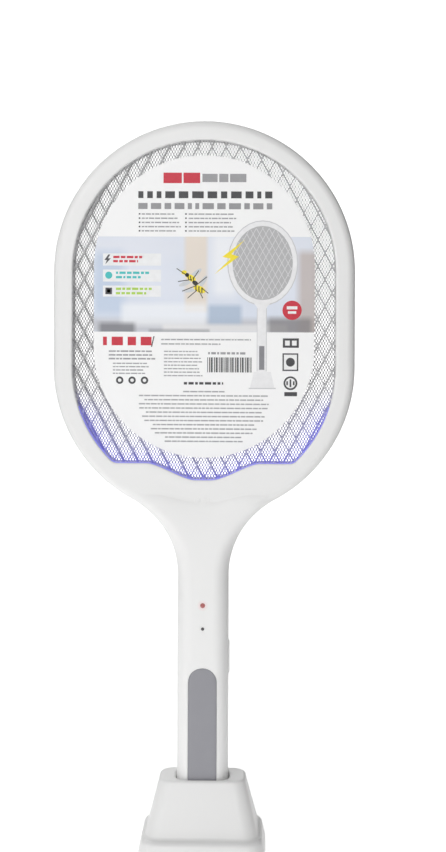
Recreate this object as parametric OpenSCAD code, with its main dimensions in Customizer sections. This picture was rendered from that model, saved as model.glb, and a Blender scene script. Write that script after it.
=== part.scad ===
// Electric fly swatter with a charging dock.
// The racket stands in the dock. X is to the right, the front faces -Y and Z is up.
// The origin is on the table, under the middle of the dock.

/* [Racket] */
// Outer radius of the two round ends of the head
head_r = 109; // [104:1:114]
// Distance between the centres of the two round ends
head_span = 69; // [60:1:80]
// Thickness of the head, front to back
head_t = 22; // [21:0.5:26]
// Radius of the rounded edge of the head
head_edge_r = 6; // [4:0.5:8]
// Width of the rim around the window
rim_w = 14; // [12:0.5:16]
// Radius of the hollow curve between head and handle
neck_r = 62.5; // [55:0.5:70]
// Length of the straight handle below the neck
handle_len = 186; // [182:1:200]
// Width of the handle
handle_w = 37; // [36:0.5:40]
// Depth of the handle, front to back
handle_t = 27; // [26:0.5:29]
// Radius of the rounded edges of the handle
handle_edge_r = 11; // [8:0.5:12]
// Thickness of the moulded walls
wall = 2.2; // [1.8:0.1:2.4]

/* [Window] */
// Height of the window's shoulders below the lower round end's centre
shoulder_drop = 69.4; // [60:0.5:72]
// How far the middle of the lower edge dips below the shoulders
wave_depth = 12.1; // [8:0.1:15]
// Half width of the flat bottom of the dip
wave_in = 7; // [4:1:12]
// Half width of the whole dip
wave_out = 40; // [34:1:46]
// Thickness of each metal grid
grid_t = 0.6; // [0.4:0.1:0.8]
// Distance between the front faces of two neighbouring grids
grid_gap = 4.6; // [4:0.1:5]
// Width of one diamond in the grids
diamond_w = 20.6; // [16:0.1:30]
// Height of one diamond in the grids
diamond_h = 38.6; // [30:0.1:50]
// Width of a strand of the grids
strand_w = 1.4; // [1:0.1:2]

/* [Display card] */
// Radius of the card's round ends
card_r = 80; // [70:1:84]
// Distance between the centres of the card's round ends
card_span = 59; // [50:1:64]
// Height of the card's lower round end above the head's lower one
card_lift = 14.2; // [8:0.1:20]
// Thickness of the card
card_t = 0.5; // [0.3:0.1:0.8]

/* [Handle controls] */
// Height of the side key's middle above the handle's end
key_z = 126.8; // [120:0.1:132]
// Length of the side key
key_len = 24.7; // [20:0.1:28]
// Width of the side key, front to back
key_w = 8; // [6:0.5:9]
// How far the side key stands out of the handle
key_proud = 0.8; // [0.6:0.1:1.6]
// Height of the charge light above the handle's end
charge_light_z = 166; // [155:0.5:170]
// Height of the mode light above the handle's end
mode_light_z = 149.2; // [140:0.1:150]
// Height of the mode knob's middle above the handle's end
knob_z = 140; // [134:0.5:144]
// Travel of the mode knob
knob_travel = 4; // [3:0.5:5]
// Height of the grip inlay's top above the handle's end
inlay_top = 120.8; // [110:0.1:122]
// Width of the grip inlay
inlay_w = 20.6; // [16:0.1:21]

/* [Battery] */
// Diameter of the cell in its sleeve
cell_d = 18.4; // [18:0.1:18.8]
// Length of the cell
cell_len = 65.2; // [64:0.1:66]

/* [Dock] */
// Height of the dock's tower above the table
dock_h = 53; // [50:1:60]
// Height of the dock's low base above the table
base_h = 14.5; // [13:0.5:18]
// Width of the base at the bottom
base_w = 92; // [88:1:100]
// Depth of the base at the bottom
base_d = 76; // [72:1:84]
// Width of the tower at the top
tower_w = 61.5; // [58:0.5:66]
// Depth of the tower at the top
tower_d = 34; // [33.5:0.5:40]
// Radius of the tower's upright edges at the top
tower_r = 9.5; // [7:0.5:12]
// Radius of the base's upright edges at the bottom
base_r = 14; // [12:0.5:20]
// How much the tower widens on each side towards the base
tower_flare = 9.8; // [6:0.1:10]
// Clearance between the handle and the socket
socket_gap = 0.4; // [0.3:0.05:0.8]
// Height of the socket's floor above the table
seat_z = 12; // [11.5:0.1:13]

/* [Hidden] */
$fn = 64;
eps = 0.01;

white = [0.93, 0.93, 0.92];
steel = [0.72, 0.73, 0.75];
brass = [0.83, 0.68, 0.35];
board_green = [0.12, 0.38, 0.22];

neck_z = seat_z + handle_len;
neck_x = handle_w / 2 + neck_r;
low_z = neck_z + sqrt(pow(head_r + neck_r, 2) - pow(neck_x, 2));
high_z = low_z + head_span;
window_r = head_r - rim_w;
shoulder_z = low_z - shoulder_drop;
far = 400;

// How far down the dip is at x, from 0 at its shoulder to 1 at its bottom
function dip(x, inner, outer) =
  let (t = max(0, min(1, (outer - abs(x)) / (outer - inner)))) t / 2 + t * t * (3 - 2 * t) / 2;
function window_low_z(x) = shoulder_z - wave_depth * dip(x, wave_in, wave_out);
wave_xs = [for (i = [-24 : 24]) i * wave_out / 24];

// The raised neck starts at a crease that follows the window's dip
crease_top_z = seat_z + 245.3;
crease_depth = 5;
function crease_z(x) = crease_top_z - crease_depth * dip(x, wave_in, wave_out - wave_in);

// ---- outlines, drawn in X and Z

module stadium(r, z_low, z_high) {
  for (z = [z_low, z_high]) translate([0, z]) circle(r, $fn = 128);
  translate([-r, z_low]) square([2 * r, z_high - z_low]);
}

module racket_outline(inset, drop) {
  stadium(head_r - inset, low_z, high_z);
  translate([inset - handle_w / 2, seat_z - drop]) square([handle_w - 2 * inset, handle_len + drop + eps]);
  difference() {
    polygon([[0, low_z], [neck_x, neck_z], [-neck_x, neck_z]]);
    for (s = [-1, 1]) translate([s * neck_x, neck_z]) circle(neck_r + inset, $fn = 128);
  }
}

module window_outline(grow) {
  intersection() {
    stadium(window_r + grow, low_z, high_z);
    polygon(concat([[-far, far * 2], [-far, shoulder_z - grow]],
      [for (x = wave_xs) [x, window_low_z(x) - grow]],
      [[far, shoulder_z - grow], [far, far * 2]]));
  }
}

module below_crease() {
  polygon(concat([[-far, 0], [-far, crease_top_z]], [for (x = wave_xs) [x, crease_z(x)]],
    [[far, crease_top_z], [far, 0]]));
}

// A slab of an X-Z outline, from front_y back to back_y
module slab(front_y, back_y) {
  translate([0, back_y, 0]) rotate([90, 0, 0]) linear_extrude(back_y - front_y) children();
}

// Nested slabs on the front side of the split plane, whose steps follow a rounded edge
module rounded_half(half_t, edge_r, inset, steps, drop) {
  for (i = [0 : steps]) {
    a = 90 * i / steps;
    slab(edge_r * (1 - cos(a)) - half_t, 0) intersection() {
      racket_outline(inset + edge_r * (1 - sin(a)), drop);
      children();
    }
  }
}

// The solid form inside the skin by the inset, reaching below the handle's end by the drop
module half_body(inset, steps, drop) {
  rounded_half(head_t / 2 - inset, head_edge_r - inset, inset, steps, drop) square(4 * far, center = true);
  rounded_half(handle_t / 2 - inset, handle_edge_r - inset, inset, steps, drop) below_crease();
}

// ---- casing of the racket

stack_y = grid_gap + grid_t / 2;
boss_points = [[0, 18.3], [-12, 92.4], [12, 92.4], [-15.5, 216], [15.5, 216],
  for (a = [30, 90, 150]) [(head_r - 5.1) * cos(a), high_z + (head_r - 5.1) * sin(a)],
  for (a = [-24, 204]) [(head_r - 5.1) * cos(a), low_z + (head_r - 5.1) * sin(a)]];
boss_r = 2.3;
screw_r = 1.1;
screw_hole_r = 1.15;
function half_t_at(z) = (z < crease_top_z - crease_depth ? handle_t : head_t) / 2;

module bosses(length_y) {
  for (p = boss_points) intersection() {
    translate([p[0], 0, p[1]]) rotate([90, 0, 0]) cylinder(r = boss_r, h = half_t_at(p[1]) - wall / 2);
    slab(-length_y, 0) square(4 * far, center = true);
  }
}

module half_casing() {
  difference() {
    half_body(0, 4, 0);
    difference() {
      half_body(wall, 3, 1);
      slab(-head_t, -stack_y) window_outline(wall);
      bosses(head_t);
    }
    slab(-head_t, eps) window_outline(0);
  }
}

key_slot_gap = 0.3;
module key_outline(grow) {
  // drawn in Y and Z, as seen from the right
  for (s = [-1, 1]) translate([0, s * (key_len - key_w) / 2]) circle(key_w / 2 + grow);
  square([key_w + 2 * grow, key_len - key_w], center = true);
}

module key_bar(x_from, x_to, grow) {
  translate([x_from, 0, seat_z + key_z]) rotate([90, 0, 90]) linear_extrude(x_to - x_from)
    key_outline(grow);
}

lens_r = 1.65;
small_lens_r = 1.1;
inlay_recess = 1;

module inlay_outline(grow) {
  w = inlay_w + 2 * grow;
  translate([0, seat_z + inlay_top - inlay_w / 2]) circle(w / 2);
  translate([-w / 2, seat_z + 2 - grow]) square([w, inlay_top - inlay_w / 2 - 2 + grow]);
}

band_top_z = low_z - 26;
module band_region(grow) {
  intersection() {
    difference() { window_outline(wall * 0.82 + grow); window_outline(0); }
    translate([-far, 0]) square([2 * far, band_top_z + grow]);
  }
}

module front_shell() {
  color(white) difference() {
    half_casing();
    slab(-9.6, -stack_y + eps) intersection() {
      difference() { window_outline(wall + eps); window_outline(-1); }
      translate([-far, 0]) square([2 * far, band_top_z + 0.2]);
    }
    slab(-handle_t, inlay_recess - handle_t / 2) inlay_outline(0.15);
    translate([0, -wall, seat_z + charge_light_z]) rotate([90, 0, 0]) cylinder(r = lens_r + 0.05, h = handle_t);
    translate([0, -wall, seat_z + mode_light_z]) rotate([90, 0, 0])
      cylinder(r = small_lens_r + 0.05, h = handle_t);
    for (p = boss_points) translate([p[0], eps, p[1]]) rotate([90, 0, 0]) cylinder(r = screw_hole_r, h = 7);
    key_bar(handle_w / 2 - wall - 1, handle_w, key_slot_gap);
  }
}

screw_head_r = 2;
screw_seat = 4;
knob_slot_w = 3.2;
module rear_shell() {
  color(white) difference() {
    mirror([0, 1, 0]) half_casing();
    for (p = boss_points) translate([p[0], -eps, p[1]]) rotate([-90, 0, 0]) {
      cylinder(r = screw_hole_r, h = handle_t);
      translate([0, 0, half_t_at(p[1]) - screw_seat]) cylinder(r = screw_head_r + 0.1, h = handle_t);
    }
    slab(handle_t / 2 - wall - 3, handle_t) translate([-knob_slot_w / 2, seat_z + knob_z - knob_travel])
      square([knob_slot_w, 3 * knob_travel]);
    key_bar(handle_w / 2 - wall - 1, handle_w, key_slot_gap);
  }
}

module shell_screws() {
  color(steel) for (p = boss_points) translate([p[0], 0, p[1]]) rotate([-90, 0, 0]) {
    head_at = half_t_at(p[1]) - screw_seat;
    translate([0, 0, -6]) cylinder(r = screw_r, h = 6 + head_at + eps);
    difference() {
      translate([0, 0, head_at]) cylinder(r = screw_head_r, h = 1.6);
      for (a = [0, 90]) rotate(a) translate([-1.3, -0.25, head_at + 0.9]) cube([2.6, 0.5, 1]);
    }
  }
}

// ---- grids, spacers and the glowing band

function in_window(x, z, margin) = z > window_low_z(x) + margin
  && norm([x, z < low_z ? z - low_z : z > high_z ? z - high_z : 0]) < window_r - margin;
cells = [for (i = [-20 : 20], j = [0 : 40]) let (x = i * diamond_w / 2, z = low_z + (j - 16) * diamond_h / 2)
  if ((i + j) % 2 == 0 && in_window(x, z, diamond_w / 2)) [x, z]];

module grid_plate(middle_y, shift) {
  half_w = diamond_w / 2 - strand_w;
  half_h = diamond_h / 2 - strand_w * diamond_h / diamond_w;
  slab(middle_y - grid_t / 2, middle_y + grid_t / 2) difference() {
    window_outline(4.4);
    for (c = cells) if (in_window(c[0], c[1] + shift, diamond_w / 2))
      translate([c[0], c[1] + shift]) polygon([[-half_w, 0], [0, -half_h], [half_w, 0], [0, half_h]]);
  }
}

module front_grid() { color(steel) grid_plate(-grid_gap, 0); }
module live_grid() { color(steel) grid_plate(0, diamond_h / 4); }
module rear_grid() { color(steel) grid_plate(grid_gap, 0); }

module spacer() {
  slab(-grid_gap + grid_t / 2, -grid_t / 2) difference() { window_outline(4.4); window_outline(0); }
}
module front_spacer() { color(white) spacer(); }
module rear_spacer() { color(white) mirror([0, 1, 0]) spacer(); }

module light_band() { color([0.55, 0.5, 1]) slab(-9.5, -stack_y) band_region(0); }

strip_in = 4.8;
module uv_led_strip() {
  color([0.9, 0.9, 0.85]) slab(-8.6, -5.4) intersection() {
    difference() { window_outline(strip_in + 0.4); window_outline(strip_in); }
    translate([-far, 0]) square([2 * far, band_top_z - 6]);
  }
}

led_size = 2.4;
module led(x, z, angle) {
  translate([x, 0, z]) rotate([0, -angle, 0])
    translate([wall + 0.3, -8.4, -led_size / 2]) cube([2, led_size, led_size]);
}

module uv_leds() {
  color([0.75, 0.7, 1]) {
    for (a = [-20, -33, 200, 213]) led(window_r * cos(a), low_z + window_r * sin(a), a);
    for (x = [-50, 0, 50]) led(x, window_low_z(x), -90);
  }
}

// ---- display card in front of the grids

module display_card() {
  color("white") slab(-stack_y - 0.2 - card_t, -stack_y - 0.2)
    stadium(card_r, low_z + card_lift, low_z + card_lift + card_span);
}

// ---- controls and electronics in the handle

module side_key_solid() {
  inner = handle_w / 2 - wall;
  key_bar(key_rest_x + 0.3, handle_w / 2 + key_proud - 0.4, 0);
  key_bar(inner, handle_w / 2 + key_proud, -0.8);
  key_bar(key_rest_x, key_rest_x + 1.1, 1.6);
}
module trigger_key() { color(white) side_key_solid(); }

switch_x = 13;
stem_y = -1.8;
key_rest_x = handle_w / 2 - wall - 1.7;
module trigger_switch() {
  color([0.15, 0.15, 0.16]) difference() {
    translate([9.4, stem_y - 3, seat_z + key_z - 3]) cube([switch_x - 9.4, 5.6, 6]);
    translate([10.4, stem_y, seat_z + key_z]) rotate([0, 90, 0]) cylinder(r = 1.7, h = 5);
  }
}
module trigger_stem() {
  color([0.75, 0.2, 0.15]) translate([11.8, stem_y, seat_z + key_z]) rotate([0, 90, 0])
    cylinder(r = 1.5, h = key_rest_x - 11.8);
}

board_y = 1;
board_t = 1.6;
board_low_z = seat_z + 85;
board_len = 92;
board_w = 26;
module main_board() {
  color(board_green) slab(board_y, board_y + board_t) difference() {
    translate([-board_w / 2, board_low_z]) square([board_w, board_len]);
    for (s = [-1, 1]) translate([s * 12, board_low_z - 4.6]) circle(boss_r + 2.8);
  }
}

// A block standing on the front of the board
module board_block(x, z, w, h, t) {
  translate([x - w / 2, board_y - t, seat_z + z - h / 2]) cube([w, t, h]);
}

module transformer() {
  color([0.9, 0.8, 0.3]) {
    board_block(-2, 108, 15, 13, 1.2);
    difference() {
      translate([-2, board_y - 1.2, seat_z + 108]) rotate([90, 0, 0]) cylinder(r = 6.2, h = 8.6);
      translate([-2, board_y - 1, seat_z + 108]) rotate([90, 0, 0]) cylinder(r = 2, h = 9);
    }
  }
}
module film_capacitor() { color([0.65, 0.2, 0.15]) board_block(-5, 125, 12, 9, 8); }
module multiplier_parts() {
  color([0.15, 0.15, 0.18]) for (i = [0 : 3]) {
    translate([-10, board_y - 1.6, seat_z + 152 + 4.6 * i]) rotate([0, 90, 0]) cylinder(r = 1.5, h = 7);
    translate([4, board_y - 0.1, seat_z + 152 + 6 * i]) rotate([90, 0, 0]) cylinder(r = 2.4, h = 2.6);
  }
}
module control_chips() {
  color([0.12, 0.12, 0.13]) {
    board_block(-8.5, 139, 6, 5, 1.7);
    board_block(-7.5, 94, 5, 4, 1.7);
  }
}
module indicator_leds() {
  color([1, 0.85, 0.8]) for (z = [charge_light_z, mode_light_z]) board_block(0, z, 3, 2, 1.1);
}

module light_lens(z, r, tip) {
  front = handle_t / 2;
  translate([0, 0, seat_z + z]) rotate([90, 0, 0]) {
    translate([0, 0, front - wall - 1.2]) cylinder(r = r + 1, h = 1.15);
    translate([0, 0, 0.6]) cylinder(r = r * 0.8, h = front - wall - 1.6);
    translate([0, 0, front - wall - 1]) cylinder(r = r, h = wall + 0.6 + tip);
  }
}
module charge_light_lens() { color([0.8, 0.15, 0.15]) light_lens(charge_light_z, lens_r, 0.5); }
module mode_light_lens() { color([0.25, 0.2, 0.2]) light_lens(mode_light_z, small_lens_r, 0.35); }

knob_face_y = handle_t / 2 + 0.2;
module mode_knob() {
  color(white) {
    translate([-3.5, knob_face_y, seat_z + knob_z - 4.5]) cube([7, 1, 9]);
    for (i = [-1 : 1]) translate([-2.6, knob_face_y, seat_z + knob_z - 0.35 + 2 * i]) cube([5.2, 1.5, 0.7]);
    translate([-1.2, 4.6, seat_z + knob_z - 1.2]) cube([2.4, knob_face_y - 4.6 + 0.1, 2.4]);
  }
}
module mode_switch() {
  back = board_y + board_t;
  color(steel) difference() {
    translate([-3, back, seat_z + knob_z - 5]) cube([6, 4, 14]);
    translate([-1.4, back + 1, seat_z + knob_z - 1.4]) cube([2.8, 4, 2.8 + knob_travel]);
  }
}

module grip_inlay() {
  color([0.58, 0.58, 0.61]) slab(0.15 - handle_t / 2, inlay_recess - handle_t / 2) inlay_outline(0);
}

cell_z = seat_z + 12.5;
module battery_cell() {
  color(steel) translate([0, 0, cell_z]) {
    cylinder(d = cell_d - 0.4, h = cell_len - 0.8);
    translate([0, 0, cell_len - 0.8 - eps]) cylinder(r = 2.8, h = 0.8);
  }
}
module battery_sleeve() {
  color([0.25, 0.45, 0.75]) translate([0, 0, cell_z]) difference() {
    cylinder(d = cell_d, h = cell_len - 1);
    translate([0, 0, -1]) cylinder(d = cell_d - 0.4, h = cell_len + 2);
  }
}
module battery_tabs() {
  color(steel) {
    translate([-2.5, -4, cell_z + cell_len]) cube([5, 8, 0.3]);
    translate([-2.5, -4, cell_z - 0.3]) cube([5, 8, 0.3]);
  }
}

module end_cap() {
  color(white) difference() {
    intersection() {
      for (m = [0, 1]) mirror([0, m, 0]) half_body(wall + 0.15, 3, 0);
      translate([-far, -far, seat_z]) cube([2 * far, 2 * far, 3.4]);
    }
    for (s = [-1, 1]) translate([s * contact_x - 2.6, -3.6, seat_z - 1]) cube([5.2, 7.2, 1.8]);
    for (s = [-1, 1]) translate([s * contact_x, 0, seat_z - 1]) cylinder(r = 0.8, h = 9);
  }
}
contact_x = 7;
module contact_plates() {
  color(brass) for (s = [-1, 1]) {
    translate([s * contact_x - 2.5, -3.5, seat_z + 0.1]) cube([5, 7, 0.6]);
    translate([s * contact_x, 0, seat_z + 0.6]) cylinder(r = 0.7, h = 3.6);
  }
}

// ---- leads, each swept along points chosen by hand

function bend(p, i, t) =
  let (a = p[max(i - 1, 0)], b = p[i], c = p[i + 1], d = p[min(i + 2, len(p) - 1)])
  0.5 * (2 * b + t * (c - a) + t * t * (2 * a - 5 * b + 4 * c - d) + t * t * t * (3 * b - a - 3 * c + d));
function route(p) = concat([for (i = [0 : len(p) - 2], t = [0, 0.33, 0.67]) bend(p, i, t)], [p[len(p) - 1]]);
function unit(v) = v / norm(v);

lead_sides = 8;
module lead(points, r) {
  path = route(points);
  n = len(path);
  rings = [for (i = [0 : n - 1])
    let (along = unit(path[min(i + 1, n - 1)] - path[max(i - 1, 0)]), side = unit(cross(along, [0, 1, 0.01])),
      up = cross(side, along))
    for (k = [0 : lead_sides - 1]) let (a = 360 * k / lead_sides)
      path[i] + r * (cos(a) * side + sin(a) * up)];
  walls = [for (i = [0 : n - 2], k = [0 : lead_sides - 1]) let (m = (k + 1) % lead_sides)
    [i * lead_sides + k, i * lead_sides + m, (i + 1) * lead_sides + m, (i + 1) * lead_sides + k]];
  polyhedron(points = rings, faces = concat(walls,
    [[for (k = [lead_sides - 1 : -1 : 0]) k]], [[for (k = [0 : lead_sides - 1]) (n - 1) * lead_sides + k]]));
}

module battery_leads() {
  color([0.75, 0.1, 0.1]) lead([[1.5, 1, 90.2], [1.6, 1.1, 92], [4, 0.2, 97], [4, 0.2, 99]], 0.65);
  color([0.15, 0.15, 0.15]) lead([[-1, 3, 23.5], [-4, 8, 22.3], [-10.6, 8.3, 30], [-11.4, 7, 50],
    [-11.4, 6, 80], [-8.8, 4.6, 91], [-6, 3.4, 97], [-6, 3.4, 99]], 0.65);
}
module charge_leads() {
  color([0.75, 0.1, 0.1]) lead([[7, 0, 16.5], [7.05, -0.1, 18.4], [12, -3, 26], [12.6, -3, 50],
    [12.4, -3, 78], [8.4, -3.4, 91], [8, -0.2, 98], [8, 0.1, 100]], 0.65);
  color([0.15, 0.15, 0.15]) lead([[-7, 0, 16.5], [-7.05, -0.1, 18.4], [-12, -3, 26], [-12.6, -3, 50],
    [-12.4, -3, 78], [-8.4, -3.4, 91], [-3, -0.4, 98], [-3, 0.1, 100]], 0.65);
}
module grid_leads() {
  color([0.8, 0.15, 0.1]) lead([[7, 0.1, 186], [7, -2, 192], [5, -2, 215], [4, -1, 240], [3, 0, 255],
    [3, 0, 262.8]], 0.8);
  color([0.15, 0.3, 0.7]) lead([[-7, 0.1, 186], [-7, -2, 192], [-5, -3, 215], [-5, -4, 240],
    [-4, -4.6, 255], [-4, -4.6, 262.8]], 0.8);
}
module light_leads() {
  color([0.2, 0.2, 0.2]) lead([[1, 0.1, 186], [1, -4, 193], [0, -7, 215], [-1, -7.4, 240],
    [-1, -7.2, 262.2]], 0.6);
}

// ---- dock

// A flat slab with rounded corners, standing on z
module round_slab(w, d, r, z, h) {
  translate([0, 0, z]) linear_extrude(h) {
    square([w - 2 * r, d], center = true);
    square([w, d - 2 * r], center = true);
    for (x = [-1, 1], y = [-1, 1]) translate([x * (w / 2 - r), y * (d / 2 - r)]) circle(r, $fn = 32);
  }
}

rim_z = 1;
plate_t = 2.4;
module tower_solid(t) {
  low_w = tower_w + 2 * tower_flare;
  low_d = tower_d + 2 * tower_flare + 4;
  hull() {
    round_slab(low_w - 2 * t, low_d - 2 * t, tower_r + 1.5 - t, base_h - 3 - t / 2, 0.1);
    round_slab(tower_w - 2 * t, tower_d - 2 * t, tower_r - t, dock_h - 2.1 - t / 2, 0.1);
    round_slab(tower_w - 2.4 - 2 * t, tower_d - 2.4 - 2 * t, tower_r - 1.2 - t, dock_h - 0.1 - t, 0.1);
  }
}
module base_solid(t) {
  hull() {
    round_slab(base_w - 2 * t, base_d - 2 * t, base_r - t, rim_z - t, 0.1);
    round_slab(base_w - 5 - 2 * t, base_d - 5 - 2 * t, base_r - 1.5 - t, base_h - 2.6 - t / 2, 0.1);
    round_slab(base_w - 9 - 2 * t, base_d - 9 - 2 * t, base_r - 3 - t, base_h - 0.1 - t, 0.1);
  }
}

socket_w = handle_w + 2 * socket_gap;
socket_d = handle_t + 2 * socket_gap;
socket_r = handle_edge_r - 2;
dock_screw_points = [for (x = [-33, 33], y = [-24, 24]) [x, y]];
stud_r = 1.5;

module dock_shell() {
  color(white) difference() {
    union() { tower_solid(0); base_solid(0); }
    difference() {
      union() { tower_solid(wall + 0.2); base_solid(wall + 0.2); }
      round_slab(socket_w + 2 * wall, socket_d + 2 * wall, socket_r + wall, seat_z - wall, dock_h);
      for (p = dock_screw_points) translate([p[0], p[1], rim_z + plate_t]) cylinder(r = 3.4, h = 20);
    }
    round_slab(socket_w, socket_d, socket_r, seat_z, dock_h);
    for (i = [0 : 2]) round_slab(socket_w + 0.8 * (3 - i), socket_d + 0.4 * (3 - i), socket_r + 0.2 * (3 - i),
      dock_h - 0.7 * (i + 1), 9);
    for (p = dock_screw_points) translate([p[0], p[1], 0]) cylinder(r = 1.35, h = 13);
    for (s = [-1, 1]) translate([s * contact_x, 0, 0]) cylinder(r = stud_r + 0.1, h = seat_z + 1);
    translate([-4.8, base_d / 2 - 12, usb_z - 0.3]) cube([9.6, 20, 3.9]);
  }
}

module dock_bottom() {
  color(white) difference() {
    union() {
      round_slab(base_w - 7.4, base_d - 7.4, base_r - 3.2, rim_z, plate_t);
      for (x = [-11, 11], y = [-3, 33 - 4]) translate([x, y, rim_z + plate_t - eps])
        cylinder(r = 2, h = dock_board_z - rim_z - plate_t + eps);
    }
    for (p = dock_screw_points) translate([p[0], p[1], 0]) {
      cylinder(r = 5.7, h = 1.6);
      cylinder(r = 2.7, h = 2.6);
      cylinder(r = 1.45, h = 9);
    }
  }
}

module dock_feet() {
  color([0.25, 0.25, 0.26]) for (p = dock_screw_points) translate([p[0], p[1], 0]) {
    cylinder(r = 5.1, h = 0.5);
    translate([0, 0, 0.4]) cylinder(r = 5.5, h = 1.15);
  }
}

module dock_screws() {
  color(steel) for (p = dock_screw_points) translate([p[0], p[1], 0]) difference() {
    union() {
      translate([0, 0, 1.65]) cylinder(r = 2.5, h = 0.95);
      translate([0, 0, 2.5]) cylinder(r = 1.3, h = 9);
    }
    for (a = [0, 90]) rotate(a) translate([-1.5, -0.3, 1]) cube([3, 0.6, 1.1]);
  }
}

dock_board_z = 4.6;
usb_z = dock_board_z + board_t;
module dock_board() {
  color(board_green) difference() {
    translate([-14, -6, dock_board_z]) cube([28, 39, board_t]);
    for (s = [-1, 1]) translate([s * contact_x, 0, 0]) cylinder(r = stud_r + 0.1, h = 9);
  }
}

module dock_usb_socket() {
  color(steel) translate([0, 0, usb_z]) difference() {
    translate([-4.5, 28, 0]) cube([9, 7.4, 3.3]);
    translate([-4.1, 29, 0.4]) cube([8.2, 9, 2.5]);
  }
  color([0.1, 0.1, 0.1]) translate([-3.3, 28.5, usb_z + 1.3]) cube([6.6, 6, 0.7]);
}

module dock_contact_studs() {
  color(brass) for (s = [-1, 1]) translate([s * contact_x, 0, 0]) {
    translate([0, 0, dock_board_z]) cylinder(r = stud_r, h = seat_z - dock_board_z + 0.05);
    translate([0, 0, usb_z]) cylinder(r = stud_r + 1, h = 1);
  }
}

module dock_leads() {
  for (s = [-1, 1]) color(s < 0 ? [0.15, 0.15, 0.15] : [0.75, 0.1, 0.1])
    lead([[s * 3, 27.2, 6.9], [s * 5, 22, 7.4], [s * 9, 14, 7.4], [s * 11, 6, 7.2], [s * 9.6, 1.5, 6.9]], 0.6);
}

dock_shell();
dock_bottom();
dock_screws();
dock_feet();
dock_board();
dock_usb_socket();
dock_contact_studs();
dock_leads();
front_shell();
rear_shell();
front_grid();
live_grid();
rear_grid();
front_spacer();
rear_spacer();
light_band();
uv_led_strip();
uv_leds();
main_board();
transformer();
film_capacitor();
multiplier_parts();
control_chips();
indicator_leds();
charge_light_lens();
mode_light_lens();
trigger_key();
trigger_switch();
trigger_stem();
mode_knob();
mode_switch();
grip_inlay();
battery_cell();
battery_sleeve();
battery_tabs();
battery_leads();
charge_leads();
grid_leads();
light_leads();
end_cap();
contact_plates();
shell_screws();
display_card();
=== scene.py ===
"""An electric fly swatter standing in its charging dock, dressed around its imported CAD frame.

Sizes are in metres. X is to the right, the front faces -Y and Z is up.
"""
import math

import bpy
from mathutils import Matrix, Vector


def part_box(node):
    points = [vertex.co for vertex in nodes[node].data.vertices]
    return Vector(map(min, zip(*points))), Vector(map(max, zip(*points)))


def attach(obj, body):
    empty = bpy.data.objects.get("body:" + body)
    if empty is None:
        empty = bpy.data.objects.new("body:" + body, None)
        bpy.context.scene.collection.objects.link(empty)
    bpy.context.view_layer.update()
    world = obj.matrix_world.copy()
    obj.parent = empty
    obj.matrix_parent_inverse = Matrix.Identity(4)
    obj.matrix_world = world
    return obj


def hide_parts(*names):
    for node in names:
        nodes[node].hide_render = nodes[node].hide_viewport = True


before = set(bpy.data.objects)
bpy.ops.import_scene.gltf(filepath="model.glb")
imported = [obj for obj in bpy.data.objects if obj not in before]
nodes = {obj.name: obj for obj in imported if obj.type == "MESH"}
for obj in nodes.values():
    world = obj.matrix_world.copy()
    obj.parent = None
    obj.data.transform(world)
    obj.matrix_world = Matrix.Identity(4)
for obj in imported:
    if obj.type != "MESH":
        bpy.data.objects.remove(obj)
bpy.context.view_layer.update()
mm = 0.001

# ---- Studio
# Soft lights from the left, the front and behind, a pale floor, and a level camera at the height
# of the head, whose lens is shifted down so that the racket stays upright.

scene = bpy.context.scene
scene.view_settings.view_transform = "Standard"
eye = Vector((0.036, -1.120, 0.404))
aim = Vector((0.0135, 0.0, 0.404))
sensor = 36.0
shown_height = 0.6193
shown_middle = 0.306
camera_roll = math.radians(0.22)

camera_data = bpy.data.cameras.new("camera")
camera = bpy.data.objects.new("camera", camera_data)
scene.collection.objects.link(camera)
scene.camera = camera
camera_data.sensor_width = sensor
camera_data.lens = sensor * (aim - eye).length / shown_height
camera_data.shift_y = (shown_middle - eye.z) / shown_height
camera_data.clip_start = 0.05
look = (aim - eye).to_track_quat("-Z", "Y").to_matrix().to_4x4()
roll = Matrix.Rotation(camera_roll, 4, "Z")
camera.matrix_world = Matrix.Translation(eye) @ look @ roll

world = bpy.data.worlds.new("studio_air")
scene.world = world
world.use_nodes = True
background = world.node_tree.nodes["Background"]
background.inputs["Color"].default_value = (1.0, 1.0, 1.0, 1.0)


def soft_light(name, place, target, size, power):
    data = bpy.data.lights.new(name, "AREA")
    data.shape = "DISK"
    data.size = size
    data.energy = power
    light = bpy.data.objects.new(name, data)
    light.location = place
    light.rotation_euler = (Vector(target) - Vector(place)).to_track_quat("-Z", "Y").to_euler()
    scene.collection.objects.link(light)


soft_light("key_light", (-0.95, -1.35, 1.25), (0, 0, 0.40), 0.7, 7)
soft_light("front_light", (-0.25, -1.5, 0.75), (0, 0, 0.46), 0.9, 5.2)
soft_light("back_light", (-0.5, 1.3, 1.2), (0, 0, 0.3), 1.0, 4)


def deselect_all():
    if bpy.context.object and bpy.context.object.mode != "OBJECT":
        bpy.ops.object.mode_set(mode="OBJECT")
    bpy.ops.object.select_all(action="DESELECT")


def activate(piece):
    deselect_all()
    piece.select_set(True)
    bpy.context.view_layer.objects.active = piece


def mesh_piece(name, points, faces):
    data = bpy.data.meshes.new(name)
    data.from_pydata([Vector(p) for p in points], [], faces)
    piece = bpy.data.objects.new(name, data)
    scene.collection.objects.link(piece)
    return piece


def smooth(piece, angle=30):
    activate(piece)
    bpy.ops.object.shade_smooth_by_angle(angle=math.radians(angle))


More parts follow.
